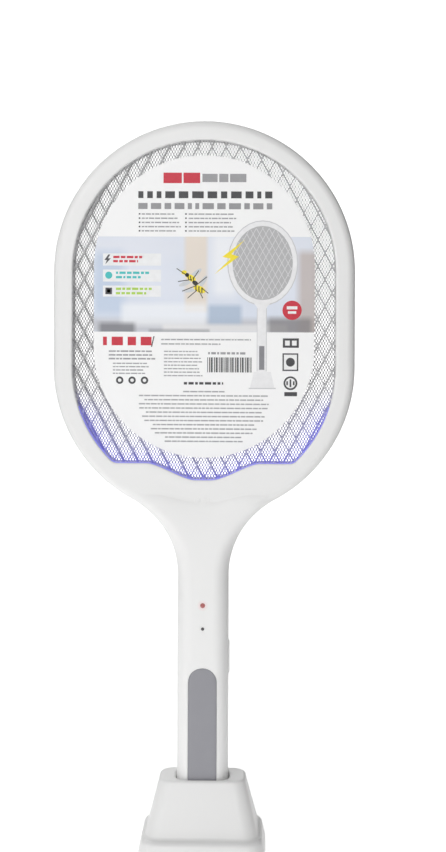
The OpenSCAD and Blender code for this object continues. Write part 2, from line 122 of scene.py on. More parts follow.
# The sweep: a floor that curves up into a wall behind the object. It lights the object from below
# and behind, and lies just under the floor, out of the camera's sight.
under_floor = -1.0 * mm
sweep_half_w, sweep_front, sweep_bend, sweep_top = 4.0, -4.0, 2.2, 4.5
sweep_bend_r = 1.0
sweep_points, sweep_faces = [], []
sweep_profile = [(sweep_front, 0.0), (sweep_bend, 0.0)]
sweep_profile += [(sweep_bend + sweep_bend_r * math.sin(math.radians(a)),
                   sweep_bend_r - sweep_bend_r * math.cos(math.radians(a))) for a in range(6, 91, 6)]
sweep_profile += [(sweep_bend + sweep_bend_r, sweep_top)]
for y, z in sweep_profile:
    sweep_points += [(-sweep_half_w, y, z + under_floor), (sweep_half_w, y, z + under_floor)]
for i in range(len(sweep_profile) - 1):
    sweep_faces.append((2 * i, 2 * i + 1, 2 * i + 3, 2 * i + 2))
sweep = mesh_piece("sweep", sweep_points, sweep_faces)
smooth(sweep)
sweep.visible_camera = False



def turns(count):
    """The cosines and sines of equal steps once round a circle."""
    return [(math.cos(2 * math.pi * k / count), math.sin(2 * math.pi * k / count)) for k in range(count)]


# The floor that the camera sees: a plain white disc that rises into a dome all round.
round_steps = 72
dome_profile = [(1.0, 0.0), (5.0, 0.0), (5.7, 0.3), (6.0, 1.0), (6.0, 4.0), (4.5, 6.0), (2.0, 7.0)]
dome_points = [(r * c, r * s, z) for r, z in dome_profile for c, s in turns(round_steps)]
dome_faces = [tuple(range(round_steps)), tuple(range(len(dome_points) - round_steps, len(dome_points)))]
for ring in range(len(dome_profile) - 1):
    for i in range(round_steps):
        low, next_low = ring * round_steps + i, ring * round_steps + (i + 1) % round_steps
        dome_faces.append((low, next_low, next_low + round_steps, low + round_steps))
floor = mesh_piece("floor", dome_points, dome_faces)
smooth(floor)
floor.visible_diffuse = False
floor.visible_glossy = False
floor.visible_transmission = False
floor.visible_shadow = False


class Wire:
    """A socket in a material that takes part in plain arithmetic, one Math node an operator."""

    def __init__(self, tree, socket):
        self.tree = tree
        self.socket = socket

    def math(self, operation, *others):
        node = self.tree.nodes.new("ShaderNodeMath")
        node.operation = operation
        for socket, value in zip(node.inputs, (self,) + others):
            feed(self.tree, socket, value)
        return Wire(self.tree, node.outputs[0])

    def __add__(self, other):
        return self.math("ADD", other)

    def __sub__(self, other):
        return self.math("SUBTRACT", other)

    def __mul__(self, other):
        return self.math("MULTIPLY", other)

    def __truediv__(self, other):
        return self.math("DIVIDE", other)

    def __lt__(self, other):
        return self.math("LESS_THAN", other)

    def __gt__(self, other):
        return self.math("GREATER_THAN", other)

    def __abs__(self):
        return self.math("ABSOLUTE")

    def __radd__(self, other):
        return self + other

    def __rmul__(self, other):
        return self * other

    def __rsub__(self, other):
        return (self * -1.0) + other

    def clamp(self):
        return self.math("MAXIMUM", 0.0).math("MINIMUM", 1.0)


def feed(tree, socket, value):
    if isinstance(value, Wire):
        tree.links.new(value.socket, socket)
    else:
        socket.default_value = value


class Finish:
    """A Principled material: fixed values go on its sockets, wires vary them over the surface."""

    def __init__(self, name, colour, roughness, **fixed):
        self.material = bpy.data.materials.new(name)
        self.material.use_nodes = True
        self.tree = self.material.node_tree
        self.shader = self.tree.nodes["Principled BSDF"]
        self.set("Base Color", (*colour, 1.0))
        self.set("Roughness", roughness)
        for socket, value in fixed.items():
            self.set(socket.replace("_", " "), value)

    def set(self, socket, value):
        feed(self.tree, self.shader.inputs[socket], value)

    def node(self, kind, settings=None, out=0, **sockets):
        node = self.tree.nodes.new("ShaderNode" + kind)
        for key, value in (settings or {}).items():
            setattr(node, key, value)
        for socket, value in sockets.items():
            feed(self.tree, node.inputs[socket.replace("_", " ")], value)
        return Wire(self.tree, node.outputs[out])

    def place(self):
        return self.node("TexCoord", out="Object")

    def axes(self, vector):
        return [self.node("SeparateXYZ", Vector=vector, out=i) for i in range(3)]

    def noise(self, scale, detail=2.0, stretch=None, out=0):
        where = self.place()
        if stretch:
            where = self.node("Mapping", Vector=where, Scale=stretch)
        return self.node("TexNoise", Vector=where, Scale=scale, Detail=detail, out=out)

    def mix(self, factor, first, second):
        node = self.tree.nodes.new("ShaderNodeMix")
        node.data_type = "RGBA"
        feed(self.tree, node.inputs[0], factor)
        for socket, value in ((node.inputs[6], first), (node.inputs[7], second)):
            feed(self.tree, socket, value if isinstance(value, Wire) else (*value, 1.0))
        return Wire(self.tree, node.outputs[2])

    def bump(self, height, distance, strength=1.0):
        self.set("Normal", self.node("Bump", Height=height, Distance=distance, Strength=strength))

    def on(self, *pieces):
        for piece in pieces:
            piece.data.materials.clear()
            piece.data.materials.append(self.material)
        return self


white_sweep = Finish("white_sweep", (0.95, 0.95, 0.95), 0.9, Emission_Strength=0.55)
sweep_x, sweep_y, _ = white_sweep.axes(white_sweep.place())
lit_half_w, lit_spread, fade_w = 0.30, 0.17, 0.35
left_dimming, right_extra = 0.75, 0.25
beside = abs(sweep_x + 0.02) - lit_half_w - sweep_y.math("MAXIMUM", 0.0) * lit_spread
dimmed = (beside / fade_w).clamp() * (left_dimming + (sweep_x > 0.0) * right_extra)
white_sweep.set("Base Color", white_sweep.mix(dimmed, (0.95, 0.95, 0.95), (0.22, 0.22, 0.22)))
white_sweep.set("Emission Color", white_sweep.mix(dimmed, (1, 1, 1), (0, 0, 0)))
white_sweep.on(sweep)

white_floor = Finish("white_floor", (0.95, 0.95, 0.95), 0.9, Emission_Strength=1.0)
floor_x, floor_y, _ = white_floor.axes(white_floor.place())
near_r, far_r = 0.6, 1.8
away = (((floor_x * floor_x + floor_y * floor_y).math("SQRT") - near_r) / (far_r - near_r)).clamp()
white_floor.set("Emission Color", white_floor.mix(away, (0.55, 0.55, 0.55), (1, 1, 1)))
white_floor.on(floor)

# The air is dimmer towards the right, which shades the object's right-hand sides.
direction = Wire(world.node_tree, world.node_tree.nodes.new("ShaderNodeTexCoord").outputs["Generated"])
across = world.node_tree.nodes.new("ShaderNodeSeparateXYZ")
feed(world.node_tree, across.inputs[0], direction)
air_left, air_drop = 0.45, 0.30
to_right = Wire(world.node_tree, across.outputs[0]).clamp()
feed(world.node_tree, background.inputs["Strength"], air_left - air_drop * to_right)

# ---- Casing of the racket
# Two halves moulded in white ABS that meet in a fine line round the edge. The head is a hollow
# ring, and the neck and handle swell out below a crease that follows the window's lower edge.

head_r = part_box("front_shell")[1].x
handle_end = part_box("front_shell")[0].z
head_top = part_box("front_shell")[1].z
high_centre = head_top - head_r
low_centre = high_centre - 69 * mm
head_half_t = 11 * mm
handle_half_t = -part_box("front_shell")[0].y
handle_half_w = 18.5 * mm
neck_r = 62.5 * mm
neck_centre = (handle_half_w + neck_r, handle_end + 186 * mm)
head_edge_r = 6 * mm
handle_edge_r = 11 * mm
wall = 2.0 * mm

window_r = head_r - 14 * mm
corner_r = 8 * mm
shoulder_z = low_centre - 69.4 * mm
dip_depth = 12.1 * mm
dip_in = 7 * mm
dip_out = 40 * mm
corner_z = shoulder_z + corner_r
corner_x = math.sqrt((window_r - corner_r) ** 2 - (low_centre - corner_z) ** 2)
corner_angle = math.atan2(corner_z - low_centre, corner_x)
neck_angle = math.atan2(neck_centre[1] - low_centre, neck_centre[0])

crease_top = handle_end + 245.3 * mm
crease_depth = 5 * mm
grid_front = -4.9 * mm


def clamp01(t):
    return max(0.0, min(1.0, t))


def ease(t):
    t = clamp01(t)
    return t * t * (3 - 2 * t)


def dip(x, inner, outer):
    t = clamp01((outer - abs(x)) / (outer - inner))
    return t / 2 + ease(t) / 2


def window_low(x):
    return shoulder_z - dip_depth * dip(x, dip_in, dip_out)


def crease_low(x):
    return crease_top - crease_depth * dip(x, dip_in, dip_out - dip_in)


def half_thickness(x, z):
    below = crease_low(x) - z
    if below <= 0:
        return head_half_t
    return head_half_t + (handle_half_t - head_half_t) * (1 - math.exp(-below / (5 * mm)))


def arc(centre, radius, start, stop, count, side=1):
    """Points and outward normals along an arc, without its last point."""
    out = []
    for i in range(count):
        a = start + (stop - start) * i / count
        normal = (side * math.cos(a), side * math.sin(a))
        out.append((centre[0] + radius * math.cos(a), centre[1] + radius * math.sin(a), *normal))
    return out


def window_corner(t, grow):
    """A point from the round part of the window's lower corner (t=0) to its foot (t=1)."""
    a = corner_angle + (-math.pi / 2 - corner_angle) * t
    r = corner_r + grow
    return (corner_x + r * math.cos(a), corner_z + r * math.sin(a), math.cos(a), math.sin(a))


def window_foot(x, grow):
    """A point of the window's wavy lower edge."""
    step = 0.5 * mm
    slope = (window_low(x + step) - window_low(x - step)) / (2 * step)
    size = math.hypot(slope, 1)
    normal = (slope / size, -1 / size)
    return (x + grow * normal[0], window_low(x) + grow * normal[1], *normal)


counts = {"top": 36, "side": 8, "low": 28, "neck": 26, "handle": 36, "end": 6}
neck_foot_x = 6.5 * mm
handle_foot_x = 1 * mm


def right_columns(grow):
    """Pairs of an outline point and the window point that faces it, from the top down the right."""
    pairs = []
    top = arc((0, high_centre), head_r, math.pi / 2, 0, counts["top"])
    inner_top = arc((0, high_centre), window_r + grow, math.pi / 2, 0, counts["top"])
    pairs += list(zip(top, inner_top))
    for i in range(counts["side"]):
        z = high_centre + (low_centre - high_centre) * i / counts["side"]
        pairs.append(((head_r, z, 1, 0), (window_r + grow, z, 1, 0)))
    for i, point in enumerate(arc((0, low_centre), head_r, 0, neck_angle, counts["low"])):
        angle = neck_angle * i / counts["low"]
        if angle > corner_angle:
            r = window_r + grow
            inner = (r * math.cos(angle), low_centre + r * math.sin(angle), math.cos(angle), math.sin(angle))
        else:
            inner = window_corner((angle - corner_angle) / (neck_angle - corner_angle), grow)
        pairs.append((point, inner))
    neck = arc(neck_centre, neck_r, neck_angle + math.pi, math.pi, counts["neck"], side=-1)
    for i, point in enumerate(neck):
        x = corner_x + (neck_foot_x - corner_x) * i / counts["neck"]
        pairs.append((point, window_foot(x, grow)))
    for i in range(counts["handle"] + 1):
        t = i / counts["handle"]
        z = neck_centre[1] + (handle_end - neck_centre[1]) * t
        x = neck_foot_x + (handle_foot_x - neck_foot_x) * t
        pairs.append(((handle_half_w, z, 1, 0), window_foot(x, grow)))
    return pairs


def flip(point):
    return (-point[0], point[1], -point[2], point[3])


def all_columns(grow):
    """All the way round from the right foot of the handle, over the top, to the left foot."""
    right = right_columns(grow)
    left = [(flip(a), flip(b)) for a, b in right]
    return right[::-1] + left[1:]


def edge_radius(z):
    return head_edge_r + (handle_edge_r - head_edge_r) * ease((crease_top - z) / (45 * mm))


def apply_modifiers(piece):
    activate(piece)
    for modifier in list(piece.modifiers):
        bpy.ops.object.modifier_apply(modifier=modifier.name)


def settle(piece):
    """Puts the piece's place, turn and size into its mesh."""
    activate(piece)
    bpy.ops.object.transform_apply(location=True, rotation=True, scale=True)


def face_outwards(piece, merge=1e-6):
    activate(piece)
    bpy.ops.object.mode_set(mode="EDIT")
    bpy.ops.mesh.select_all(action="SELECT")
    bpy.ops.mesh.remove_doubles(threshold=merge)
    bpy.ops.mesh.normals_make_consistent(inside=False)
    bpy.ops.object.mode_set(mode="OBJECT")


def join(pieces, name):
    deselect_all()
    for piece in pieces:
        piece.select_set(True)
    bpy.context.view_layer.objects.active = pieces[0]
    if len(pieces) > 1:
        bpy.ops.object.join()
    pieces[0].name = name
    pieces[0].data.name = name
    return pieces[0]


def casing_half(name):
    """The skin of the front half."""
    lip = 1.2 * mm
    parting = 0.25 * mm
    flat_steps, swell_steps, edge_steps, search_steps = 5, 18, 9, 200
    spread = 3.2
    closing = [(math.sin(math.radians(a)), math.cos(math.radians(a))) for a in (0, 22.5, 45, 67.5, 90)]
    wall_cols, lip_cols = all_columns(0), all_columns(lip)
    foot_count = counts["end"]
    foot = [(-handle_foot_x + 2 * handle_foot_x * i / foot_count) for i in range(1, foot_count)]
    columns = []
    for (outer, low), (_, high) in zip(wall_cols, lip_cols):
        radius = edge_radius(outer[1])
        inset = (outer[0] - outer[2] * radius, outer[1] - outer[3] * radius)
        columns.append((low, high, inset, outer, radius))
    for x in foot:
        side = x / handle_foot_x * (handle_half_w - handle_edge_r)
        columns.append((window_foot(x, 0), window_foot(x, lip), (side, handle_end), None, 0))
    points, faces, rows = [], [], []
    for low, high, inset, outer, radius in columns:
        row = [(low[0], grid_front, low[1])]
        for s, c in closing:
            grow = lip * (1 - c)
            row.append((low[0] + grow * low[2], -(head_half_t - lip * (1 - s)), low[1] + grow * low[3]))
        start, stop = Vector(high[:2]), Vector(inset)
        best = 0.85
        for i in range(1, search_steps):
            p = start.lerp(stop, i / search_steps)
            if p.y < crease_low(p.x):
                best = min(best, i / search_steps)
                break
        shares = [best * k / flat_steps for k in range(1, flat_steps + 1)]
        shares += [best + (1 - best) * (math.exp(spread * k / swell_steps) - 1) / (math.exp(spread) - 1)
                   for k in range(1, swell_steps + 1)]
        for share in shares:
            p = start.lerp(stop, share)
            row.append((p.x, -half_thickness(p.x, p.y), p.y))
        face_rows = len(row)
        if outer:
            depth = half_thickness(*inset)
            for k in range(1, edge_steps + 1):
                b = math.pi / 2 * k / edge_steps
                in_by = radius * (1 - math.sin(b))
                out_by = depth - radius * (1 - math.cos(b))
                row.append((outer[0] - outer[2] * in_by, -out_by, outer[1] - outer[3] * in_by))
            for depth_left in (0.5 * (depth - radius), parting * 1.6):
                row.append((outer[0], -depth_left, outer[1]))
            row.append((outer[0] - outer[2] * parting, -parting * 0.35, outer[1] - outer[3] * parting))
        rows.append((len(points), len(row)))
        points += row
    total = len(rows)
    for i in range(total):
        (a, size_a), (b, size_b) = rows[i], rows[(i + 1) % total]
        shared = min(size_a, size_b)
        if i >= total - foot_count:
            shared = min(shared, face_rows)
        for k in range(shared - 1):
            faces.append((a + k, a + k + 1, b + k + 1, b + k))
    piece = mesh_piece(name, points, faces)
    face_outwards(piece, 1e-5)
    return piece


front_skin = casing_half("front_casing")
rear_skin = casing_half("rear_casing")
for vertex in rear_skin.data.vertices:
    vertex.co.y = -vertex.co.y
rear_skin.data.flip_normals()


def cylinder(name, centre, radius, depth, axis="Y", sides=48):
    deselect_all()
    turn = {"X": (0, math.pi / 2, 0), "Y": (math.pi / 2, 0, 0), "Z": (0, 0, 0)}[axis]
    bpy.ops.mesh.primitive_cylinder_add(vertices=sides, radius=radius, depth=depth, location=centre,
                                        rotation=turn)
    piece = bpy.context.object
    piece.name = name
    settle(piece)
    return piece


def loft(name, loops, closed=False, merge=1e-7):
    """A skin through loops of points with equal counts: capped at both ends, or closed on itself."""
    size = len(loops[0])
    points = [p for loop in loops for p in loop]
    faces = []
    for i in range(len(loops) - (0 if closed else 1)):
        a, b = i * size, (i + 1) % len(loops) * size
        faces += [(a + k, a + (k + 1) % size, b + (k + 1) % size, b + k) for k in range(size)]
    if not closed:
        faces.append(tuple(range(size)))
        faces.append(tuple(range(len(points) - size, len(points))))
    piece = mesh_piece(name, points, faces)
    face_outwards(piece, merge)
    return piece


def pill(width, low, high, foot_r, inset, steps=16):
    """A closed outline with a round top and a foot with rounded corners, drawn in X and Z."""
    half = width / 2
    top = high - half
    out = [(max(half - inset, 0) * math.cos(math.pi * i / steps),
            top + max(half - inset, 0) * math.sin(math.pi * i / steps)) for i in range(steps + 1)]
    r = max(foot_r - inset, 0)
    reach = max(half - inset, 0)
    corner = min(r, reach)
    for side, start in ((-1, math.pi), (1, 1.5 * math.pi)):
        for i in range(7):
            a = start + math.pi / 2 * i / 6
            out.append((side * (reach - corner) + corner * math.cos(a), low + inset + r + r * math.sin(a)))
    return out


def cut(piece, cutters):
    """Takes the cutters out of a piece, one boolean each, and throws them away."""
    for cutter in cutters:
        modifier = piece.modifiers.new("cut", "BOOLEAN")
        modifier.operation = "DIFFERENCE"
        modifier.solver = "MANIFOLD"
        modifier.object = cutter
        apply_modifiers(piece)
        bpy.data.objects.remove(cutter)


for skin in (front_skin, rear_skin):
    solid = skin.modifiers.new("thickness", "SOLIDIFY")
    solid.thickness = wall
    solid.offset = -1
    apply_modifiers(skin)

light_z = {"charge": handle_end + 166 * mm, "mode": handle_end + 149.2 * mm}
light_r = {"charge": 1.65 * mm, "mode": 1.1 * mm}
inlay = {"width": 20.6 * mm, "low": handle_end + 2 * mm, "high": handle_end + 120.8 * mm, "foot_r": 2.5 * mm}
key_middle = handle_end + 126.8 * mm
key_length, key_width = 24.7 * mm, 8 * mm
knob_middle = handle_end + 140 * mm
knob_travel = 4 * mm
boss_reach = head_r - 5.1 * mm
# Where the screws' holes are. Known fault: the three lowest count handle_end twice, so they are
# 12 mm above the CAD's screws, which stand 18.3 mm and 92.4 mm above the table.
boss_points = [(0, handle_end + 18.3 * mm),
               (-12 * mm, handle_end + 92.4 * mm), (12 * mm, handle_end + 92.4 * mm),
               (-15.5 * mm, handle_end + 216 * mm - 12 * mm), (15.5 * mm, handle_end + 216 * mm - 12 * mm)]
boss_points += [(boss_reach * math.cos(math.radians(a)), high_centre + boss_reach * math.sin(math.radians(a)))
                for a in (30, 90, 150)]
boss_points += [(boss_reach * math.cos(math.radians(a)), low_centre + boss_reach * math.sin(math.radians(a)))
                for a in (-24, 204)]


def key_loop(x, grow):
    ring = pill(key_width + 2 * grow, 0, key_length + 2 * grow, key_width / 2 + grow, 0)
    return [(x, u, key_middle - key_length / 2 - grow + v) for u, v in ring]


def key_cutter():
    slot_gap = 0.3 * mm
    return loft("cutter", [key_loop(x, slot_gap) for x in (handle_half_w - 4 * mm, handle_half_w + 2 * mm)])


def inlay_loop(y, inset):
    ring = pill(inlay["width"], inlay["low"], inlay["high"], inlay["foot_r"], inset)
    return [(x, y, z) for x, z in ring]


front_cutters = [cylinder("cutter", (0, -handle_half_t, light_z[k]), light_r[k] + 0.12 * mm, 8 * mm)
                 for k in ("charge", "mode")]
front_cutters.append(loft("cutter", [inlay_loop(-handle_half_t - 2 * mm, -0.25 * mm),
                                     inlay_loop(1.1 * mm - handle_half_t, -0.25 * mm)]))
front_cutters.append(key_cutter())
cut(front_skin, front_cutters)

screw_head_r = 2.1 * mm
screw_sink = 4 * mm


def rear_depth(z):
    return (handle_half_t if z < crease_top - crease_depth else head_half_t)


def rear_surface(x, z):
    """How far back the uncut rear half reaches at a place, which is less near its rounded edge."""
    return rear_skin.ray_cast(Vector((x, head_r, z)), Vector((0, -1, 0)))[1].y


# A cup round each screw's head, whose rim stays just under the surface of the casing.
cup_sides = 32
cup_outer_r = 3.0 * mm
cup_bore_r, cup_foot_r = 1.2 * mm, 2.2 * mm
rim_below = 0.4 * mm
cup_turns = turns(cup_sides)
cup_rims = {}
for x, z in boss_points:
    for r in (screw_head_r, cup_outer_r):
        ring = [(x + r * u, z + r * v) for u, v in cup_turns]
        cup_rims[x, z, r] = [(px, rear_surface(px, pz) - rim_below, pz) for px, pz in ring]
rear_cutters = [cylinder("cutter", (x, rear_depth(z), z), screw_head_r, 6 * mm, sides=cup_sides)
                for x, z in boss_points]
slot_low = knob_middle - knob_travel
slot_high = slot_low + 3 * knob_travel
slot_half_w = 1.6 * mm
slot_ring = [(-slot_half_w, slot_low), (slot_half_w, slot_low),
             (slot_half_w, slot_high), (-slot_half_w, slot_high)]
rear_cutters.append(loft("cutter", [[(x, y, z) for x, z in slot_ring]
                                    for y in (handle_half_t - 5 * mm, handle_half_t + 2 * mm)]))
rear_cutters.append(key_cutter())
cut(rear_skin, rear_cutters)

cups = []
for x, z in boss_points:
    back = rear_depth(z)
    profile = [(screw_head_r, back - screw_sink), (cup_bore_r, back - screw_sink), (cup_bore_r, 0.4 * mm),
               (cup_foot_r, 0.4 * mm), (cup_outer_r, back - screw_sink - 1 * mm)]
    rows = [[(x + r * u, y, z + r * v) for u, v in cup_turns] for r, y in profile]
    rows = [cup_rims[x, z, screw_head_r]] + rows + [cup_rims[x, z, cup_outer_r]]
    cups.append(loft("cup", rows, closed=True))
rear_skin = join([rear_skin] + cups, "rear_casing")

moulded = Finish("moulded_white", (0.84, 0.84, 0.835), 0.36, Specular_IOR_Level=0.45, Subsurface_Weight=0.08,
                 Subsurface_Radius=(0.004, 0.004, 0.004), Subsurface_Scale=0.3)
sheen = moulded.noise(38, 3)
moulded.set("Roughness", 0.30 + sheen * 0.12)
moulded.bump(moulded.noise(900, 2), 0.00003, 0.35)
part_x, part_y, part_z = moulded.axes(moulded.place())
# Painted light: a pink glow round the charge light on the front half, the red lamp's light painted into the
# casing's base colour.
above_light = part_z - light_z["charge"]
from_light = (part_x * part_x + above_light * above_light).math("SQRT")
painted_led_glow_r, painted_led_glow_strength = 4.2 * mm, 0.55
painted_led_glow = (1.0 - from_light / painted_led_glow_r).clamp() * (part_y < 0.0) * painted_led_glow_strength
moulded.set("Base Color", moulded.mix(painted_led_glow, (0.84, 0.84, 0.835), (0.90, 0.52, 0.52)))
for skin, node in ((front_skin, "front_shell"), (rear_skin, "rear_shell")):
    smooth(skin, 32)
    moulded.on(skin)
    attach(skin, "racket")
    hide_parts(node)

# ---- Metal grids
# Three grids of expanded metal, clamped between two white spacer rings: a coarse one in front and
# behind, and a fine live one in the middle. Each is two families of strands; the coarse ones have long bonds.


def inside_window(x, z, grow):
    if z < low_centre:
        if z < window_low(x) - grow:
            return False
        if abs(x) > corner_x and z < corner_z:
            return math.hypot(abs(x) - corner_x, z - corner_z) < corner_r + grow
        return math.hypot(x, z - low_centre) < window_r + grow
    if z > high_centre:
        return math.hypot(x, z - high_centre) < window_r + grow
    return abs(x) < window_r + grow


def painted_band_glow(x, z):
    """How much violet light from the band is painted onto the grids at a place in the window."""
    if z > low_centre:
        return 0.0
    from_edge = min(window_r - math.hypot(x, z - low_centre), (z - window_low(x)) * 0.95)
    fade = ease((low_centre - 12 * mm - z) / (34 * mm))
    return fade * math.exp(-max(from_edge, 0) / (10 * mm))


def strands(cell_w, cell_h, lean, width, thick, tilt, hold, piece_length):
    """Straight strands across the window, all leaning one way, cut where the rim holds them."""
    direction = Vector((lean * cell_w / 2, cell_h / 2)).normalized()
    across = Vector((direction.y, -direction.x))
    spacing = abs(cell_w * direction.y)
    reach = head_r * 1.9
    middle = Vector((0, (low_centre + high_centre) / 2))
    points, faces = [], []
    count = int(reach / spacing)
    flat = Vector((across.x * math.cos(tilt), math.sin(tilt), across.y * math.cos(tilt)))
    deep = Vector((-across.x * math.sin(tilt), math.cos(tilt), -across.y * math.sin(tilt)))
    for i in range(-count, count + 1):
        base = middle + across * spacing * i
        steps = int(2 * reach / (1 * mm))
        run = []
        for k in range(steps + 1):
            p = base + direction * (-reach + 2 * reach * k / steps)
            if inside_window(p.x, p.y, hold):
                run.append(p)
            elif run:
                add_strand(points, faces, run, flat * width / 2, deep * thick / 2, piece_length)
                run = []
    return points, faces


def add_strand(points, faces, run, flat, deep, piece_length):
    pieces = max(1, int((run[-1] - run[0]).length / piece_length))
    start = len(points)
    for k in range(pieces + 1):
        p = run[0].lerp(run[-1], k / pieces)
        centre = Vector((p.x, 0, p.y))
        points += [centre - flat - deep, centre + flat - deep, centre + flat + deep, centre - flat + deep]
    for k in range(pieces):
        a = start + 4 * k
        faces += [(a + j, a + (j + 1) % 4, a + 4 + (j + 1) % 4, a + 4 + j) for j in range(4)]
    last = start + 4 * pieces
    faces += [(start, start + 3, start + 2, start + 1), (last, last + 1, last + 2, last + 3)]


def bonds(cell_w, cell_h, width, height, thick, hold):
    """The long knots where neighbouring strands stay joined, each with six sides."""
    points, faces = [], []
    sides = 6
    centre_z = (low_centre + high_centre) / 2
    reach_x, reach_z = int(head_r / cell_w) + 2, int(head_r * 1.5 / cell_h) + 2
    for half in (0, 0.5):
        for i in range(-reach_x, reach_x + 1):
            for j in range(-reach_z, reach_z + 1):
                x, z = (i + half) * cell_w, centre_z + (j + half) * cell_h
                if not inside_window(x, z, hold):
                    continue
                start = len(points)
                ring = [(0, height / 2), (width / 2, height / 5), (width / 2, -height / 5),
                        (0, -height / 2), (-width / 2, -height / 5), (-width / 2, height / 5)]
                for y in (-thick / 2, thick / 2):
                    points += [(x + u, y, z + v) for u, v in ring]
                faces.append(tuple(start + k for k in range(sides)))
                faces.append(tuple(start + sides + k for k in reversed(range(sides))))
                for k in range(sides):
                    after = (k + 1) % sides
                    faces.append((start + after, start + k, start + sides + k, start + sides + after))
    return points, faces


def grid(name, middle_y, cell_w, cell_h, width, thick, tilts, bond, hold=4.0 * mm):
    piece_length = 6 * mm
    parts = [strands(cell_w, cell_h, lean, width, thick, tilt, hold, piece_length)
             for lean, tilt in zip((1, -1), tilts)]
    if bond:
        parts.append(bonds(cell_w, cell_h, *bond, hold - 1.5 * mm))
    points, faces = [], []
    for some_points, some_faces in parts:
        shift = len(points)
        points += some_points
        faces += [tuple(k + shift for k in face) for face in some_faces]
    piece = mesh_piece(name, points, faces)
    # The glow attribute holds painted violet light from the band, fading away from it.
    glow = piece.data.attributes.new("glow", "FLOAT", "POINT")
    for vertex in piece.data.vertices:
        vertex.co.y += middle_y
        glow.data[vertex.index].value = painted_band_glow(vertex.co.x, vertex.co.z)
    activate(piece)
    bpy.ops.object.mode_set(mode="EDIT")
    bpy.ops.mesh.select_all(action="SELECT")
    bpy.ops.mesh.normals_make_consistent(inside=False)
    bpy.ops.object.mode_set(mode="OBJECT")
    return piece


violet = (0.11, 0.09, 0.52)


def grid_finish(name, colour, roughness, painted_glow_strength):
    metal = Finish(name, colour, roughness, Metallic=0.3)
    patina = metal.noise(60, 3)
    # Painted light: near the band the glow attribute tints the metal violet and makes it glow, standing in for
    # the band's light on the grids.
    light = metal.node("Attribute", {"attribute_name": "glow"}, out="Fac").clamp()
    grey = metal.mix(patina, tuple(c * 0.82 for c in colour), colour)
    metal.set("Base Color", metal.mix(light, grey, (0.27, 0.28, 0.54)))
    metal.set("Roughness", roughness + patina * 0.15)
    metal.set("Emission Color", metal.mix(light, (0, 0, 0), violet))
    metal.set("Emission Strength", painted_glow_strength)
    return metal


coarse = (10.3 * mm, 19.3 * mm)
fine = (coarse[0] / 5, coarse[1] / 5)
grid_step = 4.6 * mm
coarse_make = (*coarse, 0.8 * mm, 0.35 * mm, (math.radians(14), math.radians(-30)),
               (1.25 * mm, 4.6 * mm, 0.6 * mm))
front_mesh = grid("front_grid_mesh", -grid_step, *coarse_make)
live_mesh = grid("live_grid_mesh", 0, *fine, 0.66 * mm, 0.3 * mm, (0.0, 0.0), None)
rear_mesh = grid("rear_grid_mesh", grid_step, *coarse_make)
outer_metal = grid_finish("coarse_grid_metal", (0.55, 0.55, 0.56), 0.42, 0.5)
inner_metal = grid_finish("fine_grid_metal", (0.76, 0.76, 0.77), 0.5, 0.45)
for piece, metal, node in ((front_mesh, outer_metal, "front_grid"), (live_mesh, inner_metal, "live_grid"),
                           (rear_mesh, outer_metal, "rear_grid")):
    metal.on(piece)
    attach(piece, "racket")
    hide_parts(node)


def window_loop(grow):
    """All round the window's edge: up the right, over the top, down the left and along the foot."""
    ring = [inner for _, inner in all_columns(grow)]
    count = counts["end"]
    ring += [window_foot(-handle_foot_x + 2 * handle_foot_x * i / count, grow) for i in range(1, count)]
    return [(p[0], p[1]) for p in ring]


def ring_piece(name, near, far, y_from, y_to, soften=0.3 * mm):
    rows = [(near + soften, y_from), (near, y_from + soften), (near, y_to - soften), (near + soften, y_to),
            (far, y_to), (far, y_from)]
    return loft(name, [[(x, y, z) for x, z in window_loop(grow)] for grow, y in rows], closed=True)


spacer_white = Finish("spacer_white", (0.80, 0.80, 0.80), 0.5)
spacer_white.set("Roughness", 0.45 + spacer_white.noise(50, 2) * 0.12)
spacer_white.bump(spacer_white.noise(700, 2), 0.00003, 0.3)
for name, y_from, y_to, node in (("front_spacer_ring", -4.3 * mm, -0.35 * mm, "front_spacer"),
                                 ("rear_spacer_ring", 0.35 * mm, 4.3 * mm, "rear_spacer")):
    ring = ring_piece(name, 0.0, 4.2 * mm, y_from, y_to)
    smooth(ring, 40)
    spacer_white.on(ring)
    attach(ring, "racket")
    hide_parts(node)

# ---- Glowing band
# A frosted acrylic strip let into the lower wall of the window. Violet lamps behind it light it,
# and the violet it spills over the grids next to it is painted into their colour and glow.

band_top = low_centre - 26 * mm
band_path = [i for i, (x, z) in enumerate(window_loop(0)) if z < band_top]
band_rows = [(-0.30, -9.5), (-0.38, -9.2), (-0.38, -5.5), (-0.30, -5.2), (0.4, -5.2), (0.4, -9.5)]
loops_by_row = [[(x, y * mm, z) for x, z in window_loop(grow * mm)] for grow, y in band_rows]
loop_size = len(loops_by_row[0])
start_at = next(i for i in range(loop_size) if i in band_path and (i - 1) % loop_size not in band_path)
ordered = [(start_at + k) % loop_size for k in range(loop_size) if (start_at + k) % loop_size in band_path]
band = loft("violet_band", [[row[i] for row in loops_by_row] for i in ordered])
smooth(band, 40)
band_light = Finish("violet_acrylic", (0.22, 0.21, 0.50), 0.35, Emission_Strength=1.0)
haze = band_light.noise(45, 2)
band_light.set("Emission Color", band_light.mix(haze, (0.09, 0.09, 0.40), (0.15, 0.15, 0.52)))
band_light.on(band)
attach(band, "racket")
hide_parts("light_band")

# ---- Grip inlay
# A strip of soft grey elastomer pressed into the handle's front, with a fine groove round it.


def handle_front(x):
    over = max(abs(x) - (handle_half_w - handle_edge_r), 0)
    return -(handle_half_t - handle_edge_r + math.sqrt(handle_edge_r ** 2 - over ** 2))


